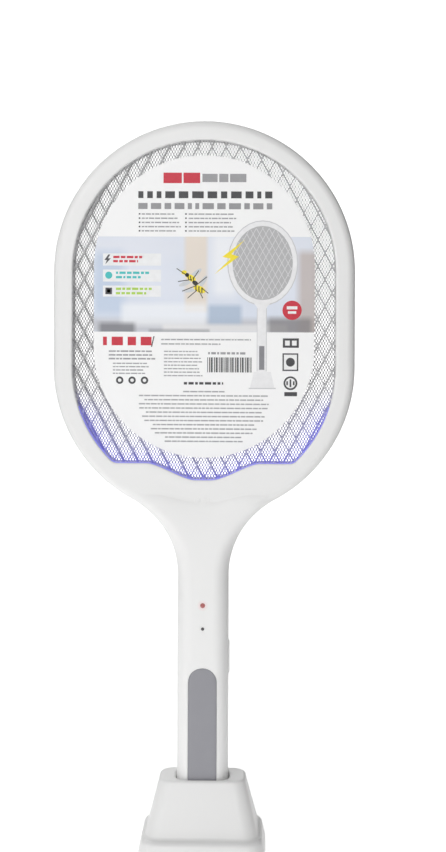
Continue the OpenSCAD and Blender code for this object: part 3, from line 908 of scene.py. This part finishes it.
inlay_rows = [(0.0, 1.0), (0.0, 0.42), (0.1, 0.24), (0.35, 0.12), (0.8, 0.06), (2.0, 0.04), (4.0, 0.03),
              (6.0, 0.03), (8.0, 0.03), (9.4, 0.03)]
inlay_loops = []
for inset, below in inlay_rows:
    ring = inlay_loop(0, inset * mm)
    inlay_loops.append([(x, handle_front(x) + below * mm, z) for x, _, z in ring])
grip = loft("grip_strip", inlay_loops)
smooth(grip, 40)
elastomer = Finish("grey_elastomer", (0.285, 0.285, 0.31), 0.5, Sheen_Weight=0.15, Sheen_Roughness=0.5)
cloud = elastomer.noise(70, 3)
elastomer.set("Base Color", elastomer.mix(cloud, (0.27, 0.27, 0.295), (0.30, 0.30, 0.325)))
elastomer.set("Roughness", 0.46 + cloud * 0.12)
elastomer.bump(elastomer.noise(1600, 2), 0.00004, 0.5)
elastomer.on(grip)
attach(grip, "racket")
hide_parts("grip_inlay")

# ---- Side key and lights
# The key is a long pill of the casing's plastic that presses in. Two small lenses on the front show
# charging and the chosen mode.

key_rows = [(-2.4, 0.0), (-0.4, 0.0), (0.2, 0.1), (0.55, 0.45), (0.72, 1.0), (0.79, 2.0), (0.8, 3.2)]
key_loops = [key_loop(handle_half_w + out * mm, -inset * mm) for out, inset in key_rows]
side_key = loft("side_key", key_loops)
smooth(side_key, 50)
moulded.on(side_key)
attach(side_key, "trigger")
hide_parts("trigger_key")

red_glow = Finish("red_lens_lit", (0.22, 0.05, 0.05), 0.25, Emission_Color=(1.0, 0.25, 0.22, 1),
                  Emission_Strength=0.16, Coat_Weight=0.6)
dark_lens = Finish("smoked_lens", (0.05, 0.045, 0.05), 0.2, Coat_Weight=0.6)
for lens_finish in (red_glow, dark_lens):
    lens_finish.bump(lens_finish.noise(400, 2), 0.00002, 0.3)
for key, node, finish in (("charge", "charge_light_lens", red_glow), ("mode", "mode_light_lens", dark_lens)):
    profile = [(1.0, 3.0), (1.0, -0.15), (0.92, -0.3), (0.7, -0.42), (0.4, -0.48), (0.1, -0.5)]
    loops = [[(light_r[key] * share * c, -handle_half_t + out * mm, light_z[key] + light_r[key] * share * s)
              for c, s in turns(32)] for share, out in profile]
    lens = loft(key + "_lens", loops)
    smooth(lens, 50)
    finish.on(lens)
    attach(lens, "racket")
    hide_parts(node)

# ---- Dock
# One hollow white shell: a low base that a tapering tower grows out of, with the socket for the
# handle hanging inside it. A screwed plate closes it from below, on four rubber feet.

dock_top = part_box("dock_shell")[1].z
dock_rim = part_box("dock_shell")[0].z
base_half = (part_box("dock_shell")[1].x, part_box("dock_shell")[1].y)
base_top = 14.5 * mm
tower_half = (30.75 * mm, 17 * mm)
flare = 9.8 * mm
flare_y = 11.8 * mm
socket_floor = handle_end
socket_half = (handle_half_w + 0.4 * mm, handle_half_t + 0.4 * mm)
socket_r = handle_edge_r - 2 * mm
dock_wall = 2.4 * mm
base_lean, base_corner_r, tower_corner_r, corner_change = 3.2 * mm, 14 * mm, 9.5 * mm, 1.5 * mm


def corner_loop(half_x, half_y, radius, z, steps=12):
    out = []
    radius = max(min(radius, half_x, half_y), 0.01 * mm)
    for quarter, (sx, sy) in enumerate(((1, 1), (-1, 1), (-1, -1), (1, -1))):
        for i in range(steps + 1):
            a = math.pi / 2 * (quarter + i / steps)
            x = sx * (half_x - radius) + radius * math.cos(a)
            out.append((x, sy * (half_y - radius) + radius * math.sin(a), z))
    return out


def shell_row(inset, z, part):
    """A loop of the dock's outside at a height, moved in by the inset."""
    if part == "base":
        t = (z - dock_rim) / (base_top - dock_rim)
        half = [b - base_lean * t - inset for b in base_half]
        return corner_loop(*half, base_corner_r - corner_change * t - inset, z)
    t = (dock_top - z) / (dock_top - base_top)
    half = (tower_half[0] + flare * t - inset, tower_half[1] + flare_y * t - inset)
    return corner_loop(*half, tower_corner_r + corner_change * t - inset, z)


def quarter(count):
    return [(math.sin(math.pi / 2 * i / count), math.cos(math.pi / 2 * i / count)) for i in range(count + 1)]


floor_ring = (4 * mm, 2 * mm, 2 * mm)
rows = [corner_loop(*floor_ring, socket_floor)]
rows += [corner_loop(*socket_half, socket_r, z)
         for z in (socket_floor, socket_floor + 1 * mm, dock_top - 3.2 * mm)]
lip = 1.8 * mm
funnel = 2.2 * mm
for s, c in quarter(5):
    wider = funnel * (1 - c)
    rows.append(corner_loop(socket_half[0] + wider, socket_half[1] + funnel * 0.55 * (1 - c), socket_r + wider,
                            dock_top - funnel + funnel * s))
rows += [shell_row(lip * (1 - s), dock_top - lip * (1 - c), "tower") for s, c in quarter(6)]
rows += [shell_row(0, z, "tower") for z in (dock_top - 12 * mm, dock_top - 24 * mm)]
blend_r = 2.0 * mm
rows += [shell_row(-blend_r * (1 - c), base_top + blend_r * (1 - s), "tower") for s, c in quarter(5)]
edge = 3.2 * mm
rows += [shell_row(edge * (1 - s), base_top - edge * (1 - c), "base") for s, c in quarter(6)]
rows += [shell_row(0, z, "base") for z in (base_top - 7 * mm, dock_rim + 1 * mm)]
rows += [shell_row(0.5 * mm, dock_rim, "base"), shell_row(dock_wall, dock_rim, "base")]
rows.append(shell_row(dock_wall, base_top - 5 * mm, "base"))
rows.append(shell_row(dock_wall + 2 * mm, base_top - dock_wall, "base"))
rows.append(shell_row(dock_wall, base_top - dock_wall + 0.4 * mm, "tower"))
rows.append(shell_row(dock_wall, dock_top - 5 * mm, "tower"))
socket_wall = 2.2 * mm
rows += [corner_loop(*[h + socket_wall for h in socket_half], socket_r + socket_wall, z)
         for z in (dock_top - 5 * mm, socket_floor - socket_wall)]
rows.append(corner_loop(*floor_ring, socket_floor - socket_wall))
dock = loft("dock_casing", rows)
usb_low, usb_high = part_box("dock_usb_socket")
usb_gap = 0.3 * mm
usb_left, usb_right = usb_low.x - usb_gap, usb_high.x + usb_gap
usb_foot, usb_head = usb_low.z - usb_gap, usb_high.z + usb_gap
opening = [(usb_left, usb_foot), (usb_right, usb_foot), (usb_right, usb_head), (usb_left, usb_head)]
dock_cutters = [loft("cutter", [[(x, y, z) for x, z in opening]
                                for y in (base_half[1] - 12 * mm, base_half[1] + 5 * mm)])]
dock_cutters += [cylinder("cutter", (x, 0, socket_floor), 1.6 * mm, 8 * mm, axis="Z", sides=24)
                 for x in (-7 * mm, 7 * mm)]
cut(dock, dock_cutters)
smooth(dock, 35)
dock_white = Finish("dock_white", (0.80, 0.80, 0.795), 0.38, Specular_IOR_Level=0.45)
dock_white.set("Roughness", 0.33 + dock_white.noise(38, 3) * 0.12)
dock_white.bump(dock_white.noise(900, 2), 0.00003, 0.35)
dock_white.on(dock)
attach(dock, "dock")
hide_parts("dock_shell")
dock_white.on(nodes["dock_bottom"])
moulded.on(nodes["end_cap"])

# ---- Mode knob
# A ribbed slider on the back, with a post that reaches in to the switch.


def block(name, centre, size, soften):
    deselect_all()
    bpy.ops.mesh.primitive_cube_add(size=1, location=centre)
    piece = bpy.context.object
    piece.name = name
    piece.scale = size
    settle(piece)
    bevel = piece.modifiers.new("edges", "BEVEL")
    bevel.width = soften
    bevel.segments = 3
    apply_modifiers(piece)
    return piece


knob_back = handle_half_t + 0.2 * mm
knob_parts = [block("knob", (0, knob_back + 0.5 * mm, knob_middle), (7 * mm, 1 * mm, 9 * mm), 0.35 * mm),
              block("post", (0, (4.65 * mm + knob_back + 0.5 * mm) / 2, knob_middle),
                    (2.4 * mm, knob_back + 0.5 * mm - 4.65 * mm, 2.4 * mm), 0.2 * mm)]
knob_parts += [block("rib", (0, knob_back + 1.1 * mm, knob_middle + 2 * mm * i),
                     (5.2 * mm, 0.8 * mm, 0.7 * mm), 0.2 * mm) for i in (-1, 0, 1)]
knob = join(knob_parts, "mode_slider")
smooth(knob, 40)
moulded.on(knob)
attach(knob, "mode_knob")
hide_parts("mode_knob")

# ---- Working parts
# The finishes of what the casings hide: boards, cell, transformer, leads and contacts.


def named(*names):
    return [nodes[name] for name in names]


steel = Finish("bright_steel", (0.62, 0.63, 0.65), 0.28, Metallic=1.0)
steel.set("Roughness", 0.22 + steel.noise(220, 3) * 0.18)
steel.bump(steel.noise(900, 2), 0.00002, 0.25)
steel.on(*named("dock_screws", "shell_screws", "dock_usb_socket", "battery_tabs", "mode_switch"))

can = Finish("nickel_can", (0.56, 0.57, 0.58), 0.3, Metallic=1.0)
can.set("Roughness", 0.26 + can.noise(90, 3) * 0.14)
can.on(nodes["battery_cell"])

brass = Finish("plated_brass", (0.78, 0.58, 0.24), 0.25, Metallic=1.0)
brass.set("Roughness", 0.2 + brass.noise(300, 2) * 0.16)
brass.on(nodes["dock_contact_studs"], nodes["contact_plates"])

solder_mask = Finish("solder_mask", (0.02, 0.16, 0.07), 0.35, Coat_Weight=0.4, Coat_Roughness=0.2)
weave = solder_mask.node("TexWave", {"wave_type": "BANDS"}, Vector=solder_mask.place(), Scale=120.0,
                         Distortion=6.0)
track = (weave > 0.82) * (solder_mask.noise(60, 1) > 0.5)
solder_mask.set("Base Color", solder_mask.mix(track, (0.015, 0.13, 0.055), (0.05, 0.26, 0.12)))
solder_mask.set("Roughness", 0.3 + solder_mask.noise(150, 2) * 0.15)
solder_mask.bump(track, 0.00003, 0.4)
solder_mask.on(nodes["main_board"], nodes["dock_board"])

strip_white = Finish("lamp_strip", (0.80, 0.80, 0.74), 0.45)
strip_white.set("Roughness", 0.4 + strip_white.noise(200, 2) * 0.15)
strip_white.on(nodes["uv_led_strip"])
violet_lamp = Finish("violet_lamp", (0.45, 0.38, 0.9), 0.15, Emission_Strength=2.0, Coat_Weight=0.5)
lamp_haze = violet_lamp.noise(300, 1)
violet_lamp.set("Emission Color", violet_lamp.mix(lamp_haze, (0.10, 0.07, 0.9), (0.25, 0.2, 1.0)))
violet_lamp.on(nodes["uv_leds"])
small_lamp = Finish("small_lamp", (0.85, 0.62, 0.58), 0.25, Coat_Weight=0.4)
small_lamp.set("Roughness", 0.2 + small_lamp.noise(300, 1) * 0.1)
small_lamp.on(nodes["indicator_leds"])

sleeves = Finish("lead_sleeves", (0.5, 0.02, 0.02), 0.42)
lead_x = sleeves.axes(sleeves.place())[0]
sleeves.set("Base Color", sleeves.mix(lead_x > 0.0, (0.03, 0.03, 0.032), (0.52, 0.02, 0.02)))
sleeves.set("Roughness", 0.38 + sleeves.noise(260, 2) * 0.12)
sleeves.on(*named("dock_leads", "battery_leads", "charge_leads", "grid_leads", "light_leads"))

rubber = Finish("foot_rubber", (0.05, 0.05, 0.052), 0.75)
rubber.set("Roughness", 0.7 + rubber.noise(400, 3) * 0.2)
rubber.bump(rubber.noise(1500, 2), 0.00004, 0.5)
rubber.on(nodes["dock_feet"])

tape = Finish("winding_tape", (0.80, 0.58, 0.05), 0.4)
tape.set("Base Color", tape.mix(tape.noise(140, 2), (0.86, 0.66, 0.08), (0.70, 0.48, 0.04)))
tape.set("Roughness", 0.34 + tape.noise(200, 2) * 0.15)
tape.on(nodes["transformer"])
epoxy = Finish("red_epoxy", (0.42, 0.05, 0.03), 0.3, Coat_Weight=0.5, Coat_Roughness=0.15)
epoxy.set("Roughness", 0.26 + epoxy.noise(120, 2) * 0.12)
epoxy.on(nodes["film_capacitor"])
stem_red = Finish("stem_red", (0.50, 0.06, 0.04), 0.4)
stem_red.set("Roughness", 0.35 + stem_red.noise(300, 2) * 0.12)
stem_red.on(nodes["trigger_stem"])
black_case = Finish("black_case", (0.025, 0.025, 0.028), 0.42)
black_case.set("Roughness", 0.38 + black_case.noise(260, 3) * 0.15)
black_case.bump(black_case.noise(1200, 2), 0.00002, 0.4)
black_case.on(*named("multiplier_parts", "control_chips", "trigger_switch"))
wrap = Finish("cell_wrap", (0.02, 0.12, 0.42), 0.3, Coat_Weight=0.3)
wrap_z = wrap.axes(wrap.place())[2]
low_ring = (abs(wrap_z - (handle_end + 24 * mm)) < 1.2 * mm)
wrap.set("Base Color", wrap.mix(low_ring, (0.02, 0.12, 0.42), (0.75, 0.76, 0.78)))
wrap.set("Roughness", 0.26 + wrap.noise(80, 3) * 0.12)
wrap.on(nodes["battery_sleeve"])

# ---- Display card
# A die-cut oval of white card in front of the front grid, printed in colour. It comes off before
# use. The print is thin films of ink, each layer a little prouder than the one below it.

card_low, card_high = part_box("display_card")
card_r = (card_high.x - card_low.x) / 2
card_centre = ((card_low.x + card_high.x) / 2, (card_low.z + card_high.z) / 2)
card_half = (card_high.z - card_low.z) / 2


def card_loop(y, inset, steps=40):
    out = []
    r = card_r - inset
    for i in range(2 * steps):
        a = math.pi * i / steps
        lift = (card_half - card_r) * (1 if i < steps else -1)
        out.append((card_centre[0] + r * math.cos(a), y, card_centre[1] + lift + r * math.sin(a)))
    return out


card_rows = [(card_high.y, 0.05 * mm), (card_high.y - 0.05 * mm, 0), (card_low.y + 0.1 * mm, 0),
             (card_low.y + 0.06 * mm, 0.05 * mm)]
card = loft("printed_card", [card_loop(y, inset) for y, inset in card_rows])
smooth(card, 30)
card_white = Finish("card_stock", (0.94, 0.94, 0.94), 0.5, Coat_Weight=0.15, Coat_Roughness=0.3)
card_white.set("Roughness", 0.45 + card_white.noise(120, 3) * 0.1)
card_white.bump(card_white.noise(600, 3), 0.00002, 0.3)
card_white.on(card)
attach(card, "card")
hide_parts("display_card")
ink_y = card_low.y + 0.06 * mm


def bar(left, right, bottom, top):
    return [(left, bottom), (right, bottom), (right, top), (left, top)]


def disc(u, v, across, up=None, turn=0.0, sides=32):
    up = up or across
    c, s = math.cos(math.radians(turn)), math.sin(math.radians(turn))
    ring = [(across * x, up * y) for x, y in turns(sides)]
    return [(u + a * c - b * s, v + a * s + b * c) for a, b in ring]


def stroke(u0, v0, u1, v1, width):
    size = math.hypot(u1 - u0, v1 - v0)
    a, b = -(v1 - v0) / size * width / 2, (u1 - u0) / size * width / 2
    return [(u0 - a, v0 - b), (u1 - a, v1 - b), (u1 + a, v1 + b), (u0 + a, v0 + b)]


def words(left, right, middle, height, seed, longest=6.0):
    """A line of print as plain blocks of changing length, with no letters in it."""
    out, u, k = [], left, seed % 97
    while u < right - 0.6:
        k = (k * 37 + 11) % 97
        length = min(longest * (0.3 + 0.7 * k / 97), right - u)
        out.append(bar(u, u + length, middle - height / 2, middle + height / 2))
        u += length + height * 0.55
    return out


def lines(left, right, top, pitch, count, height, seed, longest=6.0):
    out = []
    for i in range(count):
        ragged = (7 * ((seed + 3 * i) % 4)) * 0.18
        out += words(left, right - ragged, top - pitch * i, height, seed + 13 * i, longest)
    return out


def film(name, layer, outlines):
    """Ink as thin closed films on the card, from outlines in millimetres about the card's middle."""
    points, faces = [], []
    for outline in outlines:
        size, start = len(outline), len(points)
        for y in (ink_y + 0.01 * mm, ink_y - 0.008 * mm * layer):
            points += [(card_centre[0] + u * mm, y, card_centre[1] + v * mm) for u, v in outline]
        faces.append(tuple(start + k for k in range(size)))
        faces.append(tuple(start + size + k for k in reversed(range(size))))
        faces += [(start + (k + 1) % size, start + k, start + size + k, start + size + (k + 1) % size)
                  for k in range(size)]
    piece = mesh_piece(name, points, faces)
    face_outwards(piece, 1e-9)
    return piece


def printed(name, colour, layer, outlines, roughness=0.45):
    ink = Finish(name, colour, roughness)
    grain = ink.noise(300, 2)
    thin, full = tuple(min(1, c * 1.06 + 0.01) for c in colour), tuple(c * 0.92 for c in colour)
    ink.set("Base Color", ink.mix(grain, thin, full))
    piece = film(name, layer, outlines)
    ink.on(piece)
    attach(piece, "card")


def card_edge(v, inset):
    over = max(abs(v) - (card_half - card_r) / mm, 0)
    return math.sqrt((card_r / mm - inset) ** 2 - over ** 2)


# A soft picture of a bright room runs across the card.
picture_low, picture_high = -18.5, 50.5
picture_rows = [picture_low + (picture_high - picture_low) * i / 24 for i in range(25)]
picture = film("room_picture", 1, [[(card_edge(v, 0.1), v) for v in picture_rows]
                                   + [(-card_edge(v, 0.1), v) for v in reversed(picture_rows)]])
room = Finish("room_print", (0.8, 0.84, 0.9), 0.42)
room_x, _, room_z = room.axes(room.place())


def soft_step(value, edge, width):
    """Rises from 0 to 1 across the edge, over the width."""
    return ((value - (edge - width / 2)) / width).clamp()


def soft_box(u0, u1, v0, v1, blur=2.0):
    x0, x1 = card_centre[0] + u0 * mm, card_centre[0] + u1 * mm
    z0, z1 = card_centre[1] + v0 * mm, card_centre[1] + v1 * mm
    across = soft_step(room_x, x0, blur * mm) * (1.0 - soft_step(room_x, x1, blur * mm))
    return across * soft_step(room_z, z0, blur * mm) * (1.0 - soft_step(room_z, z1, blur * mm))


tint = room.noise(14, 2)
shade = room.mix(tint, (0.58, 0.66, 0.80), (0.86, 0.87, 0.92))
for factor, colour in (
        (soft_box(-90, 90, -19, -9, 5) * 0.75, (0.50, 0.50, 0.53)),
        (soft_box(-90, 90, 34, 52, 10) * 0.5, (0.78, 0.80, 0.86)),
        (soft_box(-80, -58, -6, 40, 8) * 0.5, (0.42, 0.55, 0.74)),
        (soft_box(-14, 2, -4, 52, 3) * 0.8, (0.80, 0.70, 0.58)),
        (soft_box(6, 24, 8, 52, 8) * 0.7, (0.92, 0.93, 0.95)),
        (soft_box(68, 90, -20, 40, 6) * 0.75, (0.50, 0.42, 0.38)),
        (soft_box(-60, 2, -14, 2, 5) * 0.7, (0.90, 0.92, 0.95)),
        (soft_box(3, 27, -13, 1, 4) * 0.85, (0.40, 0.50, 0.64)),
        (soft_box(-30, 60, -19, -13, 3) * 0.6, (0.88, 0.87, 0.86)),
        (soft_box(-76, -50, -20, -12, 4) * 0.8, (0.16, 0.16, 0.18)),
        (soft_box(46, 78, -20, -8, 5) * 0.8, (0.22, 0.21, 0.22)),
        (soft_box(-40, 4, -20, -16.5, 2) * 0.6, (0.24, 0.25, 0.27))):
    shade = room.mix(factor, shade, colour)
room.set("Base Color", shade)
room.set("Roughness", 0.38 + tint * 0.1)
room.on(picture)
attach(picture, "card")

# A plain racket and dock as the picture's subject, a bolt, and two plain insects.
racket_u, racket_v = 42.2, 31.6
printed("picture_racket_edge", (0.60, 0.60, 0.62), 2, [disc(racket_u, racket_v, 25.6, 30.8)])
printed("picture_racket_white", (0.86, 0.86, 0.87), 3, [disc(racket_u, racket_v, 24.9, 30.1)])
printed("picture_racket_face", (0.46, 0.46, 0.47), 4, [disc(racket_u, racket_v, 21.8, 26.8)])
printed("picture_handle", (0.84, 0.84, 0.85), 6,
        [[(33.0, 6.6), (38.6, -1.0), (38.6, -47.0), (44.9, -47.0), (44.9, -1.0), (51.2, 6.6), (47.0, 4.4),
          (42.2, 3.7), (37.6, 4.4)], [(33.4, -58.6), (51.0, -58.6), (48.4, -47.1), (36.0, -47.1)]])
printed("picture_shade", (0.58, 0.58, 0.60), 7,
        [bar(32.4, 52.0, -59.4, -58.7), stroke(45.1, -1.2, 45.1, -46.8, 0.5),
         stroke(38.4, -1.2, 38.4, -46.8, 0.4)])
face_lines = []
for lean in (-1, 1):
    for i in range(-9, 10):
        low, high = None, None
        for k in range(-40, 41):
            u, v = i * 4.6 + lean * k * 0.55, k * 1.0
            if (u / 21.6) ** 2 + (v / 26.4) ** 2 < 1:
                low = low or (u, v)
                high = (u, v)
        if low and high and low != high:
            face_lines.append(stroke(racket_u + low[0], racket_v + low[1],
                                     racket_u + high[0], racket_v + high[1], 0.42))
printed("picture_racket_mesh", (0.74, 0.74, 0.75), 5, face_lines)
printed("picture_grip", (0.24, 0.24, 0.26), 7, [bar(39.9, 43.7, -45.6, -28.4)])
bolt = [(29.5, 48.5), (13.0, 36.0), (19.0, 34.6), (7.5, 23.5), (25.0, 36.2), (19.6, 38.0)]
printed("ink_yellow", (0.93, 0.76, 0.02), 6,
        [bolt, disc(-9.5, 20.5, 3.6, 2.2, -30), disc(-3.4, 12.5, 4.6, 2.4, -25),
         disc(-14.6, 24.6, 2.0, 1.6, 0)])
insect = [stroke(-20, 27.5, -12, 22, 0.6), stroke(-19, 18, -9, 19.5, 0.6), stroke(-16, 11, -6, 15, 0.6),
          stroke(-12, 6, -5, 12, 0.6), stroke(-1, 6, -4, 12, 0.6), stroke(3, 9.5, -2, 13.5, 0.6),
          stroke(-4, 26, -8, 20, 0.6), stroke(2, 21.5, -5, 16, 0.6), disc(-12.4, 22.8, 1.5),
          disc(-6.6, 17.0, 2.2, 1.6, -30)]
insect += [stroke(-9.5 + d * 1.6 - 0.8, 22.3 - d * 0.9, -8.9 + d * 1.6 - 0.8, 18.6 - d * 0.9, 0.7)
           for d in (-1, 0.2, 1.4)]
insect += [stroke(-3.4 + d * 1.8 - 0.4, 14.6 - d * 0.8, -3.0 + d * 1.8 - 0.8, 10.4 - d * 0.8, 0.8)
           for d in (-1.2, 0, 1.2)]
printed("ink_black", (0.03, 0.03, 0.03), 7, insect)
printed("insect_wings", (0.62, 0.64, 0.66), 5,
        [disc(-6.0, 24.0, 5.0, 1.7, 40), disc(-14.0, 16.5, 4.6, 1.5, 20), disc(-0.5, 18.4, 4.6, 1.6, 60),
         disc(-10.6, 11.6, 4.4, 1.4, 10)])

# Heads, captions and small print, all as plain blocks.
printed("ink_red", (0.60, 0.02, 0.045), 6,
        [bar(-29.8, -16.5, 89.2, 96.8), bar(-15.3, -3.2, 89.2, 96.8)] + words(-73.2, -38.0, -25.2, 6.2, 5, 9.0)
        + words(-66, -45, 35.6, 1.7, 2, 5) + words(-66, -48, 32.6, 1.7, 9, 5)
        + [disc(63.6, -2.5, 7.0)])
printed("ink_white", (0.88, 0.88, 0.88), 7,
        [bar(59.8, 67.4, -1.8, 0.4), bar(60.6, 66.6, -5.0, -3.2)])
printed("ink_grey", (0.34, 0.34, 0.35), 2,
        [bar(-1.6, 9.4, 90.0, 96.0), bar(10.6, 17.2, 90.0, 96.0), bar(18.4, 30.2, 90.0, 96.0)]
        + lines(-45.5, -17, 66.8, 3.05, 5, 0.95, 3, 5.0) + lines(-11.5, 23, 66.8, 3.05, 5, 0.95, 17, 5.0)
        + lines(-69, -34, -32.6, 2.7, 3, 1.1, 7, 6.0) + lines(-66, -40, -41.4, 2.4, 4, 0.85, 29, 5.0)
        + lines(-29, -1, -32.6, 2.5, 8, 0.85, 43, 4.5) + words(-31, 34, -24.0, 0.9, 21, 5)
        + words(-31, 12, -27.2, 0.9, 31, 5) + words(3, 30, -33.8, 1.6, 13, 4))
printed("ink_dark", (0.05, 0.05, 0.055), 2,
        words(-48, 49, 80.8, 5.0, 8, 9.0) + [disc(u, -53.6, 2.7) for u in (-61, -52, -43)]
        + [bar(58.2, 67.4, -64.6, -61.6)]
        + [bar(2.4 + 1.25 * i, 2.4 + 1.25 * i + 0.5 + 0.25 * (i * 7 % 3), -47.6, -36.8) for i in range(26)]
        + words(-14.5, 14, -55.6, 1.8, 3, 5)
        + [bar(u, u + 1.2, 66.3 - 3.05 * i, 67.4 - 3.05 * i) for u in (-47.6, -14.0) for i in range(5)]
        + [stroke(-36.2, -21.6, -38.0, -29.4, 0.8), bar(57.0, 68.6, -29.6, -22.8),
           bar(56.8, 68.2, -46.4, -33.6),
           disc(62.6, -55.2, 5.0)])
printed("knocked_out_white", (0.88, 0.88, 0.88), 3,
        [bar(58.6, 62.0, -28.0, -24.4), bar(63.6, 67.0, -28.0, -24.4), bar(57.8, 67.2, -45.4, -34.6),
         disc(62.6, -55.2, 3.7)] + [disc(u, -53.6, 1.3) for u in (-61, -52, -43)])
printed("icon_shapes", (0.05, 0.05, 0.055), 4,
        [disc(62.5, -40.0, 3.2), bar(59.6, 60.8, -56.6, -53.8), bar(62.0, 63.2, -58.0, -52.4),
         bar(64.4, 65.6, -56.6, -53.8)])
printed("ink_mid_grey", (0.30, 0.30, 0.31), 2, words(-48, 49, 72.6, 4.4, 4, 9.0))
tags = [bar(-73.4, -31.3, 29.4, 38.2), bar(-73.4, -31.3, 17.8, 26.5), bar(-73.4, -31.3, 6.9, 14.9)]
printed("tags", (0.86, 0.87, 0.88), 2, tags)
printed("tag_icons", (0.06, 0.06, 0.07), 3,
        [[(-69.6, 37.4), (-72.4, 33.4), (-70.6, 33.4), (-71.8, 30.2), (-67.8, 34.6), (-69.8, 34.6),
          (-68.2, 37.4)],
         bar(-71.6, -66.8, 8.6, 13.4)])
printed("tag_teal", (0.05, 0.52, 0.52), 3,
        words(-64, -40, 24.2, 1.7, 5, 5) + words(-64, -46, 21.0, 1.7, 15, 5) + [disc(-69.2, 22.4, 2.6)])
printed("tag_lime", (0.42, 0.66, 0.08), 3,
        words(-64, -38, 12.6, 1.7, 25, 5) + words(-64, -42, 9.4, 1.7, 35, 5) + [bar(-70.4, -68.0, 9.8, 12.2)])
small_print = []
for i in range(13):
    half = 47.0 - (0.55 * max(i - 3, 0)) ** 1.9 * 0.9 if i else 15.0
    half = max(half - (4 if i % 3 == 2 else 0), 12)
    small_print += words(-half, half, -61.6 - 3.0 * i, 0.95, 41 + 7 * i, 5.5)
printed("ink_small_print", (0.36, 0.36, 0.37), 2, small_print)
